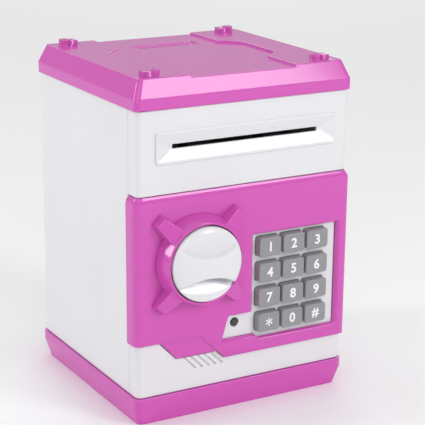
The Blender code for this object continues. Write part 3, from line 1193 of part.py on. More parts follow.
def make_feeder():
    """The note feeder behind the slot: frame, driven roller shaft, pinch rollers and motor."""
    half = NOTE_SLOT_WIDTH / 2 + 2.4 * mm
    centre = NOTE_SLOT_X
    front = PANEL_INNER_Y + GAP
    rear = MOTOR_Y + MOTOR_RADIUS - 1.0 * mm
    low = MOTOR_Z - MOTOR_RADIUS - 1.0 * mm
    high = PINCH_Z + 6.0 * mm
    side = [(front, FEED_Z - 9.0 * mm), (FEED_Y - 3.0 * mm, FEED_Z - 12.0 * mm),
            (MOTOR_Y - MOTOR_RADIUS, low), (rear, low), (rear, FEED_Z + 3.6 * mm),
            (FEED_Y + 8.0 * mm, high), (front, high)]
    frame = outline_solid("feed_frame", [side], centre - half - FEED_PLATE, centre - half, "X")
    join(frame, box("feed_front_bar", (centre - half - FEED_PLATE / 2, front, FEED_Z - 8.6 * mm),
                    (centre + half + FEED_PLATE / 2, front + 2.0 * mm, FEED_Z - 3.0 * mm)))
    join(frame, outline_solid("feed_right_plate", [side], centre + half, centre + half + FEED_PLATE, "X"))
    join(frame, box("feed_rear_bar", (centre - half - FEED_PLATE / 2, rear - 3.0 * mm, FEED_Z - 0.5 * mm),
                    (centre + half + FEED_PLATE / 2, rear - 0.5 * mm, FEED_Z + 3.0 * mm)))
    hole = FEED_SHAFT_RADIUS + GAP
    cut(frame, cylinder("feed_bearings", (centre, FEED_Y, FEED_Z), hole, 4 * half, "X", 16))
    cut(frame, cylinder("pinch_bearings", (centre, FEED_Y, PINCH_Z), hole, 4 * half, "X", 16))
    cut(frame, cylinder("motor_shaft_hole", (centre + half, MOTOR_Y, MOTOR_Z), 2.0 * mm, 10.0 * mm, "X", 16))
    finish(frame, GREY_PLASTIC)

    end = half + FEED_PLATE
    feed = axis_empty("feed_axis", (0.0, FEED_Y, FEED_Z))
    gear_start = centre + end + GAP
    shaft_low = centre - end - 1.0 * mm
    shaft_high = gear_start + GEAR_WIDTH + 1.0 * mm
    shaft = cylinder("feed_shaft", ((shaft_low + shaft_high) / 2, FEED_Y, FEED_Z), FEED_SHAFT_RADIUS,
                     shaft_high - shaft_low, "X", 16)
    finish(shaft, STEEL, feed, smooth=True)
    bore = [(FEED_Y + hole * math.cos(a * math.pi / 8), FEED_Z + hole * math.sin(a * math.pi / 8))
            for a in range(16)]
    gear = outline_solid("feed_gear", [gear_loop(GEAR_TEETH, (FEED_Y, FEED_Z), math.radians(-45.0)), bore],
                         gear_start, gear_start + GEAR_WIDTH, "X")
    finish(gear, WHITE, feed)
    pinch = axis_empty("pinch_axis", (0.0, FEED_Y, PINCH_Z))
    pinch_shaft = cylinder("pinch_shaft", (centre, FEED_Y, PINCH_Z), FEED_SHAFT_RADIUS, 2 * end, "X", 16)
    finish(pinch_shaft, STEEL, pinch, smooth=True)
    for place, label in ((-1, "left"), (1, "right")):
        x = centre + place * ROLLER_SPREAD
        finish(roller("feed_roller_" + label, (x, FEED_Y, FEED_Z), FEED_ROLLER_RADIUS), RUBBER, feed,
               smooth=True)
        finish(roller("pinch_roller_" + label, (x, FEED_Y, PINCH_Z), PINCH_ROLLER_RADIUS), RUBBER, pinch,
               smooth=True)

    motor_axis = axis_empty("motor_axis", (0.0, MOTOR_Y, MOTOR_Z))
    nose = centre + half - GAP
    profile = [(0.0, 0.0), (MOTOR_RADIUS * 0.94, 0.0), (MOTOR_RADIUS, -0.6 * mm),
               (MOTOR_RADIUS, 0.6 * mm - MOTOR_LENGTH), (MOTOR_RADIUS * 0.94, -MOTOR_LENGTH),
               (0.0, -MOTOR_LENGTH)]
    finish(turned("feed_motor", profile, (nose, MOTOR_Y, MOTOR_Z), "X", steps=24), STEEL, smooth=True)
    shaft_middle = (nose + GAP + gear_start + GEAR_WIDTH) / 2
    pinion = cylinder("motor_pinion", (shaft_middle, MOTOR_Y, MOTOR_Z), 1.0 * mm,
                      gear_start + GEAR_WIDTH - nose - GAP, "X", 12)
    phase = math.radians(135.0) + math.pi / MOTOR_TEETH
    join(pinion, outline_solid("motor_gear", [gear_loop(MOTOR_TEETH, (MOTOR_Y, MOTOR_Z), phase)],
                               gear_start, gear_start + GEAR_WIDTH - 0.2 * mm, "X"))
    finish(pinion, WHITE, motor_axis)


def roller(name, centre, radius):
    """A rubber roller with a bore that clears its shaft."""
    bore = FEED_SHAFT_RADIUS + GAP
    half = ROLLER_WIDTH / 2
    profile = [(bore, half), (radius - 0.4 * mm, half), (radius, half - 0.4 * mm), (radius, 0.4 * mm - half),
               (radius - 0.4 * mm, -half), (bore, -half), (bore, half)]
    return turned(name, profile, centre, "X", steps=20)


clear_scene()
PARTS = make_collection("toy_safe_coin_bank")
CUTTERS = make_collection("cutters")
AXES = make_collection("axes")
AXIS_POINTS = {}

PINK = make_material("pink plastic", (0.66, 0.10, 0.50), 0.28)
WHITE = make_material("white plastic", (0.80, 0.80, 0.83), 0.32)
KEY_GREY = make_material("grey keys", (0.25, 0.25, 0.26), 0.45)
GREY_PLASTIC = make_material("light grey plastic", (0.55, 0.55, 0.57), 0.5)
BLACK_PLASTIC = make_material("black plastic", (0.01, 0.01, 0.01), 0.2)
RUBBER = make_material("dark rubber", (0.03, 0.03, 0.03), 0.8)
BOARD_GREEN = make_material("circuit board", (0.02, 0.12, 0.05), 0.5)
STEEL = make_material("steel", (0.6, 0.6, 0.62), 0.3, 1.0)
CELL_JACKET = make_material("cell jacket", (0.10, 0.12, 0.16), 0.4)

make_base_tray()
make_battery_cover()
make_cells()
make_base_electronics()
make_body_shell()
make_front_panel()
make_lid()
make_casing_screws()

door_axis = axis_empty("door_hinge", (HINGE_X, HINGE_Y, 0.0))
knob_axis = axis_empty("knob_axis", (KNOB_X, DOOR_FACE, KNOB_LEVEL), door_axis)
bolt_axis = axis_empty("bolt_slide", (KNOB_X, BOLT_FRONT, KNOB_LEVEL + PINION_RADIUS), door_axis)
plunger_axis = axis_empty("plunger_slide", (PLUNGER_X, BOLT_FRONT + BOLT_THICKNESS / 2, bolt_levels()[1]),
                          door_axis)
make_door(door_axis)
make_door_cover(door_axis)
make_hinge_pins()
make_collar(door_axis)
make_knob(knob_axis)
make_bolt(bolt_axis)
make_solenoid(door_axis, plunger_axis)
make_keypad(door_axis)
make_keys(door_axis)
make_feeder()
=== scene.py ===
"""Looks of the toy safe coin bank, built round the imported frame: the moulded casing, lock knob, keypad,
mechanism and studio."""

import json
import math

import bmesh
import bpy
import numpy as np
from bpy.props import FloatProperty, FloatVectorProperty, PointerProperty
from bpy.types import Operator, Panel, PropertyGroup
from mathutils import Matrix, Vector

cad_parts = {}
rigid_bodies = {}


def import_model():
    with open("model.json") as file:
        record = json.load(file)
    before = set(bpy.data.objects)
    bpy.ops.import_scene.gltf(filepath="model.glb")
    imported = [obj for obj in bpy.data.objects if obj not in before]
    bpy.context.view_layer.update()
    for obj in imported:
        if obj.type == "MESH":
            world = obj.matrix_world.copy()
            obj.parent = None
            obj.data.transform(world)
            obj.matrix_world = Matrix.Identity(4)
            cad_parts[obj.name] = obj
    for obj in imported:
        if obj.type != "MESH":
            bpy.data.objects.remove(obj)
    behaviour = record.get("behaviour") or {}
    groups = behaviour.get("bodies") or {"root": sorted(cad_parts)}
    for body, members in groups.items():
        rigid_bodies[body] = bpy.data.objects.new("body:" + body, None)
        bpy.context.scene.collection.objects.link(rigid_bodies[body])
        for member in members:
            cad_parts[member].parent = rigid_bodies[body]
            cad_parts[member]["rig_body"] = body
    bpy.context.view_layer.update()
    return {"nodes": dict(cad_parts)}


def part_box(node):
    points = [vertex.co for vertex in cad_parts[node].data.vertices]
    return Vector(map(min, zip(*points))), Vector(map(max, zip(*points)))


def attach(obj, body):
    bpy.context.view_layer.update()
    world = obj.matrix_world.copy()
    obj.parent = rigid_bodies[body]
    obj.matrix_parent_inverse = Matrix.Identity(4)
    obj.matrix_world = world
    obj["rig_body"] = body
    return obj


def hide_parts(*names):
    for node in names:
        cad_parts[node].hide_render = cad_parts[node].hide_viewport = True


bl_info = {
    "name": "Toy Safe Coin Bank",
    "version": (1, 0, 0),
    "blender": (4, 5, 0),
    "location": "View3D > Sidebar > Coin Bank",
    "description": "Moulded casing, lock knob, keypad and studio for a toy safe",
    "category": "Object",
}

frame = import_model()
MM = 0.001

GLOSSY_PINK_NODES = ("lid", "base_tray", "battery_cover", "door_shell", "knob_collar")
GLOSSY_WHITE_NODES = ("body_shell", "front_panel", "keypad_bezel")
INNER_PLASTIC_NODES = ("door_cover", "lock_bolt", "feed_frame", "feed_gear", "motor_pinion", "pinion_shaft")
SOFTENED_PINK = {"lid": 0.5 * MM, "base_tray": 0.9 * MM, "door_shell": 0.8 * MM, "knob_collar": 0.3 * MM}
SOFTENED_WHITE = {"front_panel": 0.35 * MM, "body_shell": 0.35 * MM, "keypad_bezel": 0.15 * MM}
CREASED_NODES = ("lid", "base_tray")
RUBBER_NODES = ("feed_roller_left", "feed_roller_right", "pinch_roller_left", "pinch_roller_right",
                "keypad_mat")
BOARD_NODES = ("main_board", "keypad_board")
CELL_NODES = ("battery_cell_1", "battery_cell_2", "battery_cell_3")
BLACK_NODES = ("led", "speaker")

# Softened mouldings; ROUNDING_ROOM is the least edge length as a multiple of the rounding
WELD_DISTANCE = 0.002 * MM
FLAT_ANGLE = math.radians(0.5)
SHARP_ANGLE = math.radians(30.0)
CREASE_ANGLE = math.radians(12.0)
CREASE_LENGTH = 80.0 * MM
ROUNDING_ROOM = 2.4
ROUNDING_SEGMENTS = 3
AREA_WEIGHT = 100

# Moulded skin
DRIFT_SCALE = 18.0
DRIFT_TINT = (0.25, 0.2, 0.25)
DRIFT_STRENGTH = 0.035
SMUDGE_SCALE = 60.0
# The edge tint lightens rounded edges: partly wear from rubbing, partly a painted highlight
RUB_HIGHLIGHT_TINT = (0.95, 0.9, 0.95)
RUBBED_ROUGHNESS = 0.4
PEEL_HEIGHT = 0.05 * MM

# Knob cap; SCOOP_REACH is the scoops' half length as a share of the knob's radius
KNOB_AROUND = 288
DOME_RINGS = 96
RIM_ANGLE = math.radians(88.0)
WALL_EDGE = 0.5 * MM
WALL_LIP = 2.0 * MM
SCOOP_WALL = 1.2 * MM
LEAST_ROOM = 0.1 * MM
POCKET_EDGE = 3.0 * MM
SCOOP_REACH = 0.94

# Keys and their print; sizes and weights are shares of the legend's height
KEY_FLANGE = 0.5 * MM
KEY_FLANGE_DEPTH = 1.0 * MM
LEAST_CORNER = 0.3 * MM
FACE_RINGS = 8
DIGIT_SIZE, DIGIT_WEIGHT = 1.43, 0.035
STAR_SIZE, STAR_WEIGHT = 1.95, 0.015
PRINT_THICKNESS = 0.12 * MM

# Studio: each softbox has its name, place, width, height and share of the key light's power
FLOOR_REACH = 4.0
AIM = (0.0, 0.0, 0.09)
CAMERA_PLACE = (-0.37095, -0.66940, 0.31547)
CAMERA_YAW = math.radians(29.926)
CAMERA_PITCH = math.radians(16.347)
CAMERA_ROLL = math.radians(0.617)
SENSOR_WIDTH = 36.0
LENS = 123.49
SOFTBOXES = (
    ("front softbox", (0.70, -1.32, 0.84), 0.50, 0.60, 0.80),
    ("camera softbox", (-0.60, -1.35, 0.85), 0.90, 0.70, 0.40),
    ("left softbox", (-1.09, 0.46, 0.51), 0.26, 0.46, 0.42),
    ("top softbox", (-0.20, -0.30, 1.60), 1.20, 1.20, 0.36),
    ("rear softbox", (1.20, 2.10, 1.60), 2.00, 1.20, 1.70),
)

# The print on each key
KEY_LEGENDS = {
    "1": "1", "2": "2", "3": "3",
    "4": "4", "5": "5", "6": "6",
    "7": "7", "8": "8", "9": "9",
    "star": "*", "0": "0", "hash": "#",
}


# ---------------------------------------------------------------- settings

class CasingSettings(PropertyGroup):
    """Colours and edge rounding of the moulded casing."""

    pink: FloatVectorProperty(name="Pink", description="Colour of the pink mouldings", subtype="COLOR",
                              size=3, min=0.0, max=1.0, default=(0.66, 0.088, 0.48))
    white: FloatVectorProperty(name="White", description="Colour of the white mouldings", subtype="COLOR",
                               size=3, min=0.0, max=1.0, default=(0.80, 0.80, 0.825))
    edge: FloatProperty(name="Edge radius", description="Rounding of the moulded edges", unit="LENGTH",
                        default=0.5 * MM, min=0.0, max=2.0 * MM)


class KnobSettings(PropertyGroup):
    """Shape of the lock knob's cap."""

    waist: FloatProperty(name="Grip waist", description="Half width of the grip at its middle", unit="LENGTH",
                         default=5.0 * MM)
    flare: FloatProperty(name="Grip flare", description="How much wider each half of the grip is at its ends",
                         unit="LENGTH", default=6.4 * MM)
    drop: FloatProperty(name="Grip drop", description="How far the grip lies below the knob's middle",
                        unit="LENGTH", default=1.3 * MM)
    upper_scoop: FloatProperty(name="Upper scoop", description="Depth of the finger scoop above the grip",
                               unit="LENGTH", default=3.6 * MM)
    lower_scoop: FloatProperty(name="Lower scoop", description="Depth of the finger scoop below the grip",
                               unit="LENGTH", default=5.6 * MM)
    pocket: FloatProperty(name="Pocket depth", unit="LENGTH", default=4.6 * MM,
                          description="Depth of the narrow pocket under the grip's right half")
    crown: FloatProperty(name="Crown", description="Rise of the dome over its rim", unit="LENGTH",
                         default=4.3 * MM)
    tilt: FloatProperty(name="Grip tilt", description="Turn of the grip at rest", subtype="ANGLE",
                        unit="ROTATION", default=math.radians(-1.5))


class KeySettings(PropertyGroup):
    """Shape and print of the twelve keys."""

    corner: FloatProperty(name="Corner radius", description="Corner radius of a key, seen from the front",
                          unit="LENGTH", default=1.5 * MM)
    bevel: FloatProperty(name="Bevel", description="Width of the rounded edge of a key's face",
                         unit="LENGTH", default=0.5 * MM)
    dish: FloatProperty(name="Dish", description="How far the middle of a key's face is hollowed",
                        unit="LENGTH", default=0.15 * MM)
    legend: FloatProperty(name="Legend height", description="Height of a printed digit",
                          unit="LENGTH", default=5.0 * MM)


class StageSettings(PropertyGroup):
    """Light and floor of the studio."""

    floor: FloatVectorProperty(name="Floor", description="Colour of the floor", subtype="COLOR",
                               size=3, min=0.0, max=1.0, default=(0.97, 0.97, 0.975))
    ambient: FloatProperty(name="Ambient", description="Strength of the even light all round", default=0.50)
    key_light: FloatProperty(name="Key light", description="Power of the large front light", unit="POWER",
                             default=9.0)


# ---------------------------------------------------------------- shader groups and materials

def group_tree(name, inputs, outputs):
    """A shader node group with named inputs (name, kind, default) and outputs (name, kind)."""
    tree = bpy.data.node_groups.new(name, "ShaderNodeTree")
    for label, kind, default in inputs:
        socket = tree.interface.new_socket(name=label, in_out="INPUT", socket_type=kind)
        socket.default_value = default
    for label, kind in outputs:
        tree.interface.new_socket(name=label, in_out="OUTPUT", socket_type=kind)
    return tree, tree.nodes.new("NodeGroupInput"), tree.nodes.new("NodeGroupOutput")


def maths(tree, operation, first, second):
    """A Math node; each operand is a socket or a number."""
    node = tree.nodes.new("ShaderNodeMath")
    node.operation = operation
    for socket, value in zip(node.inputs, (first, second)):
        if isinstance(value, (int, float)):
            socket.default_value = value
        else:
            tree.links.new(value, socket)
    return node.outputs[0]


def mix_colour(tree, factor, first, second):
    """A colour Mix node; each operand is a socket or a colour."""
    node = tree.nodes.new("ShaderNodeMix")
    node.data_type = "RGBA"
    if isinstance(factor, (int, float)):
        node.inputs["Factor"].default_value = factor
    else:
        tree.links.new(factor, node.inputs["Factor"])
    for socket, value in ((node.inputs[6], first), (node.inputs[7], second)):
        if isinstance(value, tuple):
            socket.default_value = (*value[:3], 1.0)
        else:
            tree.links.new(value, socket)
    return node.outputs[2]


def noise(tree, vector, scale, detail=3.0, roughness=0.5):
    """A noise texture's factor."""
    node = tree.nodes.new("ShaderNodeTexNoise")
    node.inputs["Scale"].default_value = scale
    node.inputs["Detail"].default_value = detail
    node.inputs["Roughness"].default_value = roughness
    tree.links.new(vector, node.inputs["Vector"])
    return node.outputs["Fac"]


def spread(tree, value, low, high, new_low, new_high):
    """A Map Range node."""
    node = tree.nodes.new("ShaderNodeMapRange")
    tree.links.new(value, node.inputs["Value"])
    for label, number in (("From Min", low), ("From Max", high), ("To Min", new_low), ("To Max", new_high)):
        socket = node.inputs[label]
        if isinstance(number, (int, float)):
            socket.default_value = number
        else:
            tree.links.new(number, socket)
    return node.outputs["Result"]


def make_moulded_skin():
    """Moulded plastic: colour that drifts slowly, gloss that varies, fine orange peel, and rounded edges
    lightened partly as wear from rubbing and partly as a painted highlight.
    """
    tree, given, out = group_tree(
        "moulded skin",
        [("Colour", "NodeSocketColor", (0.8, 0.8, 0.8, 1.0)), ("Roughness", "NodeSocketFloat", 0.3),
         ("Peel", "NodeSocketFloat", 0.06), ("Grain Size", "NodeSocketFloat", 900.0),
         ("Edge Radius", "NodeSocketFloat", 0.0004), ("Rub And Highlight", "NodeSocketFloat", 0.12)],
        [("Colour", "NodeSocketColor"), ("Roughness", "NodeSocketFloat"), ("Normal", "NodeSocketVector")])
    place = tree.nodes.new("ShaderNodeTexCoord").outputs["Object"]
    drift = noise(tree, place, DRIFT_SCALE, 2.0)
    smudge = noise(tree, place, SMUDGE_SCALE)
    grain = tree.nodes.new("ShaderNodeTexNoise")
    grain.inputs["Detail"].default_value = 2.0
    tree.links.new(place, grain.inputs["Vector"])
    tree.links.new(given.outputs["Grain Size"], grain.inputs["Scale"])
    rounded = tree.nodes.new("ShaderNodeBevel")
    rounded.samples = 6
    tree.links.new(given.outputs["Edge Radius"], rounded.inputs["Radius"])
    surface = tree.nodes.new("ShaderNodeNewGeometry")
    dot = tree.nodes.new("ShaderNodeVectorMath")
    dot.operation = "DOT_PRODUCT"
    tree.links.new(rounded.outputs["Normal"], dot.inputs[0])
    tree.links.new(surface.outputs["Normal"], dot.inputs[1])
    # Mask of the rounded edges, which are lightened below: partly wear from rubbing, partly a painted
    # highlight
    edge = spread(tree, dot.outputs["Value"], 0.99, 0.80, 0.0, 1.0)
    rub_and_highlight = maths(tree, "MULTIPLY", maths(tree, "MULTIPLY", edge, given.outputs["Rub And Highlight"]),
                   spread(tree, smudge, 0.35, 0.65, 0.3, 1.0))
    darker = mix_colour(tree, spread(tree, drift, 0.3, 0.7, 0.0, DRIFT_STRENGTH), given.outputs["Colour"],
                        DRIFT_TINT)
    # Mix the pale edge tint in: a painted highlight along the edges, together with wear from rubbing
    worn_and_highlit = mix_colour(tree, rub_and_highlight, darker, RUB_HIGHLIGHT_TINT)
    tree.links.new(worn_and_highlit, out.inputs["Colour"])
    gloss = maths(tree, "ADD", given.outputs["Roughness"], spread(tree, smudge, 0.3, 0.7, -0.005, 0.015))
    gloss = maths(tree, "ADD", gloss, maths(tree, "MULTIPLY", rub_and_highlight, RUBBED_ROUGHNESS))
    tree.links.new(gloss, out.inputs["Roughness"])
    bump = tree.nodes.new("ShaderNodeBump")
    bump.inputs["Distance"].default_value = PEEL_HEIGHT
    tree.links.new(given.outputs["Peel"], bump.inputs["Strength"])
    tree.links.new(grain.outputs["Fac"], bump.inputs["Height"])
    tree.links.new(rounded.outputs["Normal"], bump.inputs["Normal"])
    tree.links.new(bump.outputs["Normal"], out.inputs["Normal"])
    return tree


def shader_of(name):
    """A new material's tree and its Principled shader."""
    material = bpy.data.materials.new(name)
    material.use_nodes = True
    return material, material.node_tree, material.node_tree.nodes["Principled BSDF"]


def moulded(name, colour, roughness, peel=0.06, grain=900.0, edge=0.4 * MM, rub_and_highlight=0.12, coat=0.0):
    """A moulded plastic from the shared skin group; its edges are lightened by the given share, partly as
    wear and partly as a painted highlight.
    """
    material, tree, shader = shader_of(name)
    skin = tree.nodes.new("ShaderNodeGroup")
    skin.node_tree = bpy.data.node_groups.get("moulded skin") or make_moulded_skin()
    skin.inputs["Colour"].default_value = (*colour, 1.0)
    skin.inputs["Roughness"].default_value = roughness
    skin.inputs["Peel"].default_value = peel
    skin.inputs["Grain Size"].default_value = grain
    skin.inputs["Edge Radius"].default_value = edge
    skin.inputs["Rub And Highlight"].default_value = rub_and_highlight
    tree.links.new(skin.outputs["Colour"], shader.inputs["Base Color"])
    tree.links.new(skin.outputs["Roughness"], shader.inputs["Roughness"])
    tree.links.new(skin.outputs["Normal"], shader.inputs["Normal"])
    shader.inputs["IOR"].default_value = 1.5
    shader.inputs["Coat Weight"].default_value = coat
    shader.inputs["Coat Roughness"].default_value = 0.08
    return material


def plated_steel():
    """Bright plated steel with fine scratches along one way."""
    material, tree, shader = shader_of("plated steel")
    place = tree.nodes.new("ShaderNodeTexCoord").outputs["Object"]
    stretch = tree.nodes.new("ShaderNodeMapping")
    stretch.inputs["Scale"].default_value = (1.0, 12.0, 12.0)
    tree.links.new(place, stretch.inputs["Vector"])
    scratch = noise(tree, stretch.outputs["Vector"], 400.0, 4.0, 0.7)
    tint = mix_colour(tree, scratch, (0.50, 0.50, 0.52), (0.70, 0.70, 0.71))
    tree.links.new(tint, shader.inputs["Base Color"])
    tree.links.new(spread(tree, scratch, 0.3, 0.7, 0.22, 0.42), shader.inputs["Roughness"])
    shader.inputs["Metallic"].default_value = 1.0
    return material


def circuit_board():
    """Green lacquer over copper tracks."""
    material, tree, shader = shader_of("circuit board")
    place = tree.nodes.new("ShaderNodeTexCoord").outputs["Object"]
    tracks = tree.nodes.new("ShaderNodeTexBrick")
    tracks.inputs["Scale"].default_value = 300.0
    tracks.inputs["Mortar Size"].default_value = 0.08
    tree.links.new(place, tracks.inputs["Vector"])
    tint = mix_colour(tree, tracks.outputs["Fac"], (0.01, 0.10, 0.04), (0.05, 0.22, 0.08))
    tree.links.new(tint, shader.inputs["Base Color"])
    tree.links.new(spread(tree, noise(tree, place, 120.0), 0.3, 0.7, 0.25, 0.4), shader.inputs["Roughness"])
    return material


def dress(names, material):
    """Give CAD nodes a finish."""
    for name in names:
        node = frame["nodes"][name]
        node.data.materials.clear()
        node.data.materials.append(material)


# ---------------------------------------------------------------- surfaces

def closed_skin(name, rings):
    """A closed surface from rings of points, an array of (ring, point, xyz): neighbouring rings are
    joined by quads, and each end ring is closed to a pole at its mean point."""
    count, around = rings.shape[:2]
    poles = np.stack([rings[0].mean(axis=0), rings[-1].mean(axis=0)])
    points = np.concatenate([rings.reshape(-1, 3), poles])
    ring, step = np.meshgrid(np.arange(count - 1), np.arange(around), indexing="ij")
    ahead = (step + 1) % around
    quads = np.stack([ring * around + step, ring * around + ahead,
                      (ring + 1) * around + ahead, (ring + 1) * around + step], axis=-1).reshape(-1, 4)
    step = np.arange(around)
    ahead = (step + 1) % around
    last = (count - 1) * around
    first_fan = np.stack([ahead, step, np.full(around, count * around)], axis=-1)
    last_fan = np.stack([last + step, last + ahead, np.full(around, count * around + 1)], axis=-1)
    mesh = bpy.data.meshes.new(name)
    mesh.from_pydata(points.tolist(), [], quads.tolist() + first_fan.tolist() + last_fan.tolist())
    mesh.update()
    return mesh


def add_piece(mesh, material, body, replaces=(), smooth_angle=35.0):
    """Put a mesh in the scene as a piece that rides on a body."""
    mesh.materials.clear()
    mesh.materials.append(material)
    piece = bpy.data.objects.new(mesh.name, mesh)
    bpy.context.scene.collection.objects.link(piece)
    if smooth_angle:
        mesh.shade_smooth()
        mesh.set_sharp_from_angle(angle=math.radians(smooth_angle))
    else:
        mesh.polygons.foreach_set("use_smooth", np.ones(len(mesh.polygons), dtype=bool))
    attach(piece, body)
    if replaces:
        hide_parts(*replaces)
    return piece


def add_softened(name, material, width):
    """A copy of a CAD moulding with its loose triangles merged into flat faces and its edges rounded.
    An edge that ends beside a very short one is left unrounded, because there is no room."""
    mesh = frame["nodes"][name].data.copy()
    mesh.name = name + "_moulding"
    form = bmesh.new()
    form.from_mesh(mesh)
    bmesh.ops.remove_doubles(form, verts=form.verts, dist=WELD_DISTANCE)
    bmesh.ops.dissolve_limit(form, angle_limit=FLAT_ANGLE, verts=form.verts, edges=form.edges)
    tight = {vert for edge in form.edges if edge.calc_length() < ROUNDING_ROOM * width for vert in edge.verts}
    weights = form.edges.layers.float.new("bevel_weight_edge")
    for edge in form.edges:
        crease = name in CREASED_NODES and edge.calc_length() > CREASE_LENGTH
        sharp = edge.calc_face_angle(0.0) > (CREASE_ANGLE if crease else SHARP_ANGLE)
        rounded = sharp and not tight.intersection(edge.verts)
        edge[weights] = float(rounded)
        edge.smooth = rounded or not sharp
    bmesh.ops.triangulate(form, faces=form.faces, quad_method="BEAUTY", ngon_method="EAR_CLIP")
    form.to_mesh(mesh)
    form.free()
    body = frame["nodes"][name]["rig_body"]
    piece = add_piece(mesh, material, body, (name,), smooth_angle=None)
    rounding = piece.modifiers.new("rounding", "BEVEL")
    rounding.width = width
    rounding.segments = ROUNDING_SEGMENTS
    rounding.limit_method = "WEIGHT"
    rounding.use_clamp_overlap = False
    levelled = piece.modifiers.new("flat faces", "WEIGHTED_NORMAL")
    levelled.weight = AREA_WEIGHT
    levelled.keep_sharp = True
    return piece


def rounded_rectangle(half_x, half_z, radius, steps=6):
    """Points of a rounded rectangle: each corner's centre plus the radius times the cosine and sine
    of an angle that runs through a quarter turn, corner after corner."""
    quarter = np.linspace(0.0, math.pi / 2, steps)
    turns = quarter[None, :] + (np.arange(4) * math.pi / 2)[:, None]
    sign_x = np.array([1, -1, -1, 1])[:, None]
    sign_z = np.array([1, 1, -1, -1])[:, None]
    across = sign_x * (half_x - radius) + radius * np.cos(turns)
    up = sign_z * (half_z - radius) + radius * np.sin(turns)
    return np.stack([across.ravel(), up.ravel()], axis=-1)


def smooth_step(value):
    """Zero below 0, one above 1, and a cubic ease between."""
    part = np.clip(value, 0.0, 1.0)
    return part * part * (3.0 - 2.0 * part)


# ---------------------------------------------------------------- operators

class COINBANK_OT_casing(Operator):
    """Give the casing, door and lid their glossy mouldings"""

    bl_idname = "coin_bank.casing"
    bl_label = "Finish Casing"

    def execute(self, context):
        casing = context.scene.coin_bank_casing
        # The pink's edges get a strong painted highlight mixed with wear, the white's a faint one
        pink = moulded("glossy pink plastic", casing.pink, 0.14, peel=0.012, edge=casing.edge,
                       rub_and_highlight=0.38, coat=0.1)
        white = moulded("glossy white plastic", casing.white, 0.20, peel=0.008, edge=casing.edge,
                        rub_and_highlight=0.03, coat=0.1)
        dress(GLOSSY_PINK_NODES, pink)
        dress(GLOSSY_WHITE_NODES, white)
        for name, width in SOFTENED_PINK.items():
            add_softened(name, pink, width)
        for name, width in SOFTENED_WHITE.items():
            add_softened(name, white, width)
        return {"FINISHED"}


class COINBANK_OT_knob(Operator):
    """Form the domed knob with its waisted grip between two finger scoops"""

    bl_idname = "coin_bank.knob"
    bl_label = "Form Knob"

    def execute(self, context):
        knob = context.scene.coin_bank_knob
        low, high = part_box("knob")
        centre = (low + high) / 2
        radius = (high.x - low.x) / 2
        mesh = closed_skin("knob_cap", knob_rings(knob, centre, radius, low.y, high.y))
        white = bpy.data.materials["glossy white plastic"]
        add_piece(mesh, white, "knob", ("knob",), smooth_angle=50.0)
        return {"FINISHED"}


def knob_rings(knob, centre, radius, crown_y, back_y):
    """Rings from the back's middle out, up the wall, round the rim and in over the dome to its crown.

    The dome is an ellipse of revolution. The grip is the part within a half width of the middle line,
    the half width growing with the square of the distance along the grip. Past it the surface drops
    by the scoop's depth over a short wall, and comes back to the dome towards the rim. Below the
    grip a narrow pocket adds to the scoop beside the wall, and eases out at both its ends."""
    rim_y = crown_y + knob.crown
    turn = np.linspace(0.0, 2 * math.pi, KNOB_AROUND, endpoint=False)
    wall_reach = np.array([0.02, 0.6, 0.97, 1.0, 1.0, 1.0]) * radius
    wall_y = np.array([back_y, back_y, back_y, back_y - WALL_EDGE, rim_y + WALL_LIP,
                       rim_y + WALL_EDGE])
    dome_turn = np.linspace(RIM_ANGLE, 0.0, DOME_RINGS)[:-1]
    dome_reach = radius * np.sin(dome_turn)
    reach = np.concatenate([wall_reach, dome_reach])
    across = reach[:, None] * np.cos(turn)
    up = reach[:, None] * np.sin(turn)
    depth = np.concatenate([wall_y, rim_y - knob.crown * np.cos(dome_turn)])[:, None] + np.zeros(KNOB_AROUND)
    level = up + knob.drop
    along = across * math.cos(knob.tilt) + level * math.sin(knob.tilt)
    beside = np.abs(level * math.cos(knob.tilt) - across * math.sin(knob.tilt))
    half_grip = knob.waist + knob.flare * (along / radius) ** 2
    past = beside - half_grip
    room = np.maximum(np.sqrt(np.maximum(radius ** 2 - along ** 2, 0.0)) - half_grip, LEAST_ROOM)
    share = np.clip(past / room, 0.0, 1.0)
    wall = smooth_step(past / SCOOP_WALL)
    fade = 1.0 - smooth_step((share - 0.10) / 0.86)
    below = level < 0.0
    scoop = np.where(below, knob.lower_scoop, knob.upper_scoop)
    scoop = scoop * np.clip(1.0 - (along / (SCOOP_REACH * radius)) ** 2, 0.0, 1.0) ** 0.8
    reached = along / radius
    pocket_ends = smooth_step((reached + 0.45) / 0.75) * (1.0 - smooth_step((reached - 0.55) / 0.30))
    pocket_side = 1.0 - smooth_step((past - SCOOP_WALL) / POCKET_EDGE)
    pocket = knob.pocket * below * pocket_ends * pocket_side
    on_dome = (np.arange(len(reach)) >= len(wall_reach))[:, None]
    depth = depth + on_dome * (scoop * fade + pocket) * wall
    return np.stack([centre.x + across, depth, centre.z + up], axis=-1)


class COINBANK_OT_keys(Operator):
    """Form the twelve keys with rounded edges and a hollowed face"""

    bl_idname = "coin_bank.keys"
    bl_label = "Form Keys"

    def execute(self, context):
        keys = context.scene.coin_bank_keys
        # The keys' edges are lightened, partly as wear and partly as a painted highlight
        grey = moulded("satin grey key plastic", (0.295, 0.30, 0.31), 0.38, peel=0.10, grain=1800.0,
                       edge=0.25 * MM, rub_and_highlight=0.25)
        for label in KEY_LEGENDS:
            name = "key_" + label
            mesh = closed_skin("key_cap_" + label, key_rings(keys, *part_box(name)))
            add_piece(mesh, grey, name, (name,), smooth_angle=50.0)
        return {"FINISHED"}


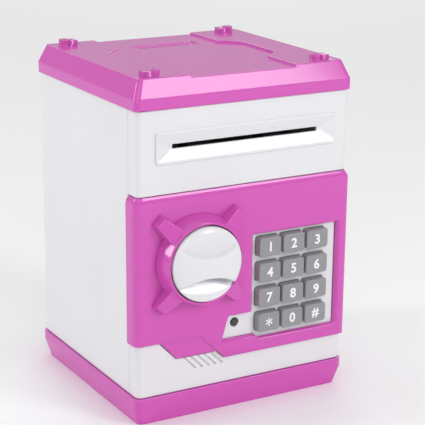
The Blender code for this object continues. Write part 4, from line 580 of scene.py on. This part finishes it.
def key_rings(keys, low, high):
    """Rings of a key: the flange behind, the straight wall, a rounded edge that follows a quarter
    circle, and a face whose rings shrink to the middle while it dips as a parabola."""
    centre = (low + high) / 2
    half_x = (high.x - low.x) / 2 - KEY_FLANGE
    half_z = (high.z - low.z) / 2 - KEY_FLANGE
    quarter = np.linspace(0.0, math.pi / 2, 6)
    inset = np.concatenate([[-KEY_FLANGE, -KEY_FLANGE, 0.0], keys.bevel * (1 - np.cos(quarter))])
    depth = np.concatenate([[high.y, high.y - KEY_FLANGE_DEPTH, high.y - KEY_FLANGE_DEPTH],
                            low.y + keys.bevel * (1 - np.sin(quarter))])
    rings = [rounded_rectangle(half_x - inward, half_z - inward, max(keys.corner - inward, LEAST_CORNER))
             for inward in inset]
    shrink = np.linspace(1.0, 0.0, FACE_RINGS)[1:-1]
    rings += [rings[-1] * part for part in shrink]
    depth = np.concatenate([depth, low.y + keys.dish * (1 - shrink ** 2)])
    flat = np.array(rings)
    return np.stack([centre.x + flat[..., 0], depth[:, None] + np.zeros(flat.shape[1]),
                     centre.z + flat[..., 1]], axis=-1)[:, ::-1]


class COINBANK_OT_legends(Operator):
    """Print the digits on the keys"""

    bl_idname = "coin_bank.legends"
    bl_label = "Print Legends"

    def execute(self, context):
        keys = context.scene.coin_bank_keys
        ink = moulded("white print", (0.95, 0.95, 0.96), 0.40, peel=0.1, grain=3000.0, edge=0.05 * MM,
                      rub_and_highlight=0.0)
        for label, text in KEY_LEGENDS.items():
            low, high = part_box("key_" + label)
            mesh = legend_mesh("legend_" + label, text, keys.legend)
            place = Vector(((low.x + high.x) / 2, low.y + keys.dish * 0.5, (low.z + high.z) / 2))
            mesh.transform(Matrix.Translation(place) @ Matrix.Rotation(math.pi / 2, 4, "X"))
            add_piece(mesh, ink, "key_" + label)
        return {"FINISHED"}


def legend_mesh(name, text, height):
    """A bold digit of the given height, centred, facing up."""
    curve = bpy.data.curves.new(name, "FONT")
    curve.body = text
    star = text == "*"
    curve.size = height * (STAR_SIZE if star else DIGIT_SIZE)
    curve.offset = height * (STAR_WEIGHT if star else DIGIT_WEIGHT)
    curve.extrude = PRINT_THICKNESS
    curve.resolution_u = 6
    writer = bpy.data.objects.new(name, curve)
    bpy.context.scene.collection.objects.link(writer)
    graph = bpy.context.evaluated_depsgraph_get()
    mesh = bpy.data.meshes.new_from_object(writer.evaluated_get(graph))
    bpy.data.objects.remove(writer)
    form = bmesh.new()
    form.from_mesh(mesh)
    bmesh.ops.remove_doubles(form, verts=form.verts, dist=0.001 * MM)
    bmesh.ops.recalc_face_normals(form, faces=form.faces)
    form.to_mesh(mesh)
    form.free()
    mesh.name = name
    points = np.empty(len(mesh.vertices) * 3)
    mesh.vertices.foreach_get("co", points)
    points = points.reshape(-1, 3)
    middle = (points.min(axis=0) + points.max(axis=0)) / 2
    mesh.transform(Matrix.Translation((-middle[0], -middle[1], 0.0)))
    return mesh


class COINBANK_OT_mechanism(Operator):
    """Finish the lock, feeder, keypad boards, cells and screws"""

    bl_idname = "coin_bank.mechanism"
    bl_label = "Finish Mechanism"

    def execute(self, context):
        inner = moulded("light grey inner plastic", (0.52, 0.52, 0.54), 0.5, peel=0.3, grain=1500.0)
        black = moulded("black lens", (0.008, 0.008, 0.010), 0.12, peel=0.02, edge=0.1 * MM, rub_and_highlight=0.0,
                        coat=1.0)
        rubber = moulded("dark rubber", (0.03, 0.03, 0.032), 0.75, peel=0.5, grain=2500.0)
        jacket = moulded("cell jacket", (0.08, 0.10, 0.15), 0.35, peel=0.02)
        steel = plated_steel()
        dress(INNER_PLASTIC_NODES, inner)
        dress(RUBBER_NODES, rubber)
        dress(BOARD_NODES, circuit_board())
        dress(CELL_NODES, jacket)
        dress(BLACK_NODES, black)
        named = set(GLOSSY_PINK_NODES + GLOSSY_WHITE_NODES + INNER_PLASTIC_NODES + RUBBER_NODES + BOARD_NODES
                    + CELL_NODES + BLACK_NODES)
        dress([name for name in frame["nodes"] if name not in named], steel)
        return {"FINISHED"}


class COINBANK_OT_stage(Operator):
    """Set the floor, the even light, the softboxes and the camera"""

    bl_idname = "coin_bank.stage"
    bl_label = "Set Stage"

    def execute(self, context):
        stage = context.scene.coin_bank_stage
        add_floor(stage)
        add_world(stage)
        for name, place, width, height, share in SOFTBOXES:
            add_softbox(name, place, width, height, stage.key_light * share)
        add_camera()
        context.scene.view_settings.view_transform = "Standard"
        return {"FINISHED"}


def add_floor(stage):
    """A wide square floor of a pale, slightly uneven matt colour."""
    mesh = bpy.data.meshes.new("floor")
    corners = [(FLOOR_REACH * across, FLOOR_REACH * along, 0.0)
               for across, along in ((-1, -1), (1, -1), (1, 1), (-1, 1))]
    mesh.from_pydata(corners, [], [(0, 1, 2, 3)])
    material, tree, shader = shader_of("pale floor")
    place = tree.nodes.new("ShaderNodeTexCoord").outputs["Object"]
    darker = tuple(0.98 * part for part in stage.floor)
    tint = mix_colour(tree, noise(tree, place, 3.0), tuple(stage.floor), darker)
    tree.links.new(tint, shader.inputs["Base Color"])
    shader.inputs["Roughness"].default_value = 0.9
    shader.inputs["Specular IOR Level"].default_value = 0.1
    mesh.materials.append(material)
    floor = bpy.data.objects.new("floor", mesh)
    bpy.context.scene.collection.objects.link(floor)


def add_world(stage):
    """An even white light from all round."""
    world = bpy.data.worlds.new("studio")
    world.use_nodes = True
    background = world.node_tree.nodes["Background"]
    background.inputs["Color"].default_value = (1.0, 1.0, 1.0, 1.0)
    background.inputs["Strength"].default_value = stage.ambient
    bpy.context.scene.world = world


def add_softbox(name, place, width, height, power):
    """A rectangular area light that faces the middle of the casing and isn't itself in view."""
    light = bpy.data.lights.new(name, "AREA")
    light.shape = "RECTANGLE"
    light.size = width
    light.size_y = height
    light.energy = power
    lamp = bpy.data.objects.new(name, light)
    lamp.visible_camera = False
    aim = Vector(AIM) - Vector(place)
    lamp.matrix_world = Matrix.Translation(place) @ aim.to_track_quat("-Z", "Y").to_matrix().to_4x4()
    bpy.context.scene.collection.objects.link(lamp)


def add_camera():
    """A long lens to the left of the front, a little above the lid, with a slight roll."""
    ahead = Vector((math.sin(CAMERA_YAW) * math.cos(CAMERA_PITCH),
                    math.cos(CAMERA_YAW) * math.cos(CAMERA_PITCH), -math.sin(CAMERA_PITCH)))
    right = Vector((math.cos(CAMERA_YAW), -math.sin(CAMERA_YAW), 0.0))
    up = right.cross(ahead)
    tilted_right = math.cos(CAMERA_ROLL) * right + math.sin(CAMERA_ROLL) * up
    tilted_up = math.cos(CAMERA_ROLL) * up - math.sin(CAMERA_ROLL) * right
    turn = Matrix((tilted_right, tilted_up, -ahead)).transposed().to_4x4()
    data = bpy.data.cameras.new("camera")
    data.sensor_width = SENSOR_WIDTH
    data.lens = LENS
    camera = bpy.data.objects.new("camera", data)
    camera.matrix_world = Matrix.Translation(CAMERA_PLACE) @ turn
    bpy.context.scene.collection.objects.link(camera)
    bpy.context.scene.camera = camera


class COINBANK_PT_panel(Panel):
    """Sidebar panel that lists the pieces in making order"""

    bl_idname = "COINBANK_PT_panel"
    bl_label = "Coin Bank"
    bl_space_type = "VIEW_3D"
    bl_region_type = "UI"
    bl_category = "Coin Bank"

    def draw(self, context):
        for settings, operators in PANEL_ROWS:
            group = getattr(context.scene, settings)
            column = self.layout.column(align=True)
            for label in group.__annotations__:
                column.prop(group, label)
            for operator in operators:
                column.operator(operator)


PANEL_ROWS = (
    ("coin_bank_casing", ("coin_bank.casing", "coin_bank.mechanism")),
    ("coin_bank_knob", ("coin_bank.knob",)),
    ("coin_bank_keys", ("coin_bank.keys", "coin_bank.legends")),
    ("coin_bank_stage", ("coin_bank.stage",)),
)
SETTINGS = {
    "coin_bank_casing": CasingSettings,
    "coin_bank_knob": KnobSettings,
    "coin_bank_keys": KeySettings,
    "coin_bank_stage": StageSettings,
}
CLASSES = (*SETTINGS.values(), COINBANK_OT_casing, COINBANK_OT_knob, COINBANK_OT_keys, COINBANK_OT_legends,
           COINBANK_OT_mechanism, COINBANK_OT_stage, COINBANK_PT_panel)


def register():
    """Register the classes and add their settings to the scene."""
    for cls in CLASSES:
        bpy.utils.register_class(cls)
    for name, group in SETTINGS.items():
        setattr(bpy.types.Scene, name, PointerProperty(type=group))


def unregister():
    """Take the settings and classes away again."""
    for name in SETTINGS:
        delattr(bpy.types.Scene, name)
    for cls in reversed(CLASSES):
        bpy.utils.unregister_class(cls)


def main():
    """Register, then make every piece in order."""
    register()
    for _, operators in PANEL_ROWS:
        for operator in operators:
            group, name = operator.split(".")
            getattr(getattr(bpy.ops, group), name)()


if __name__ == "__main__":
    main()
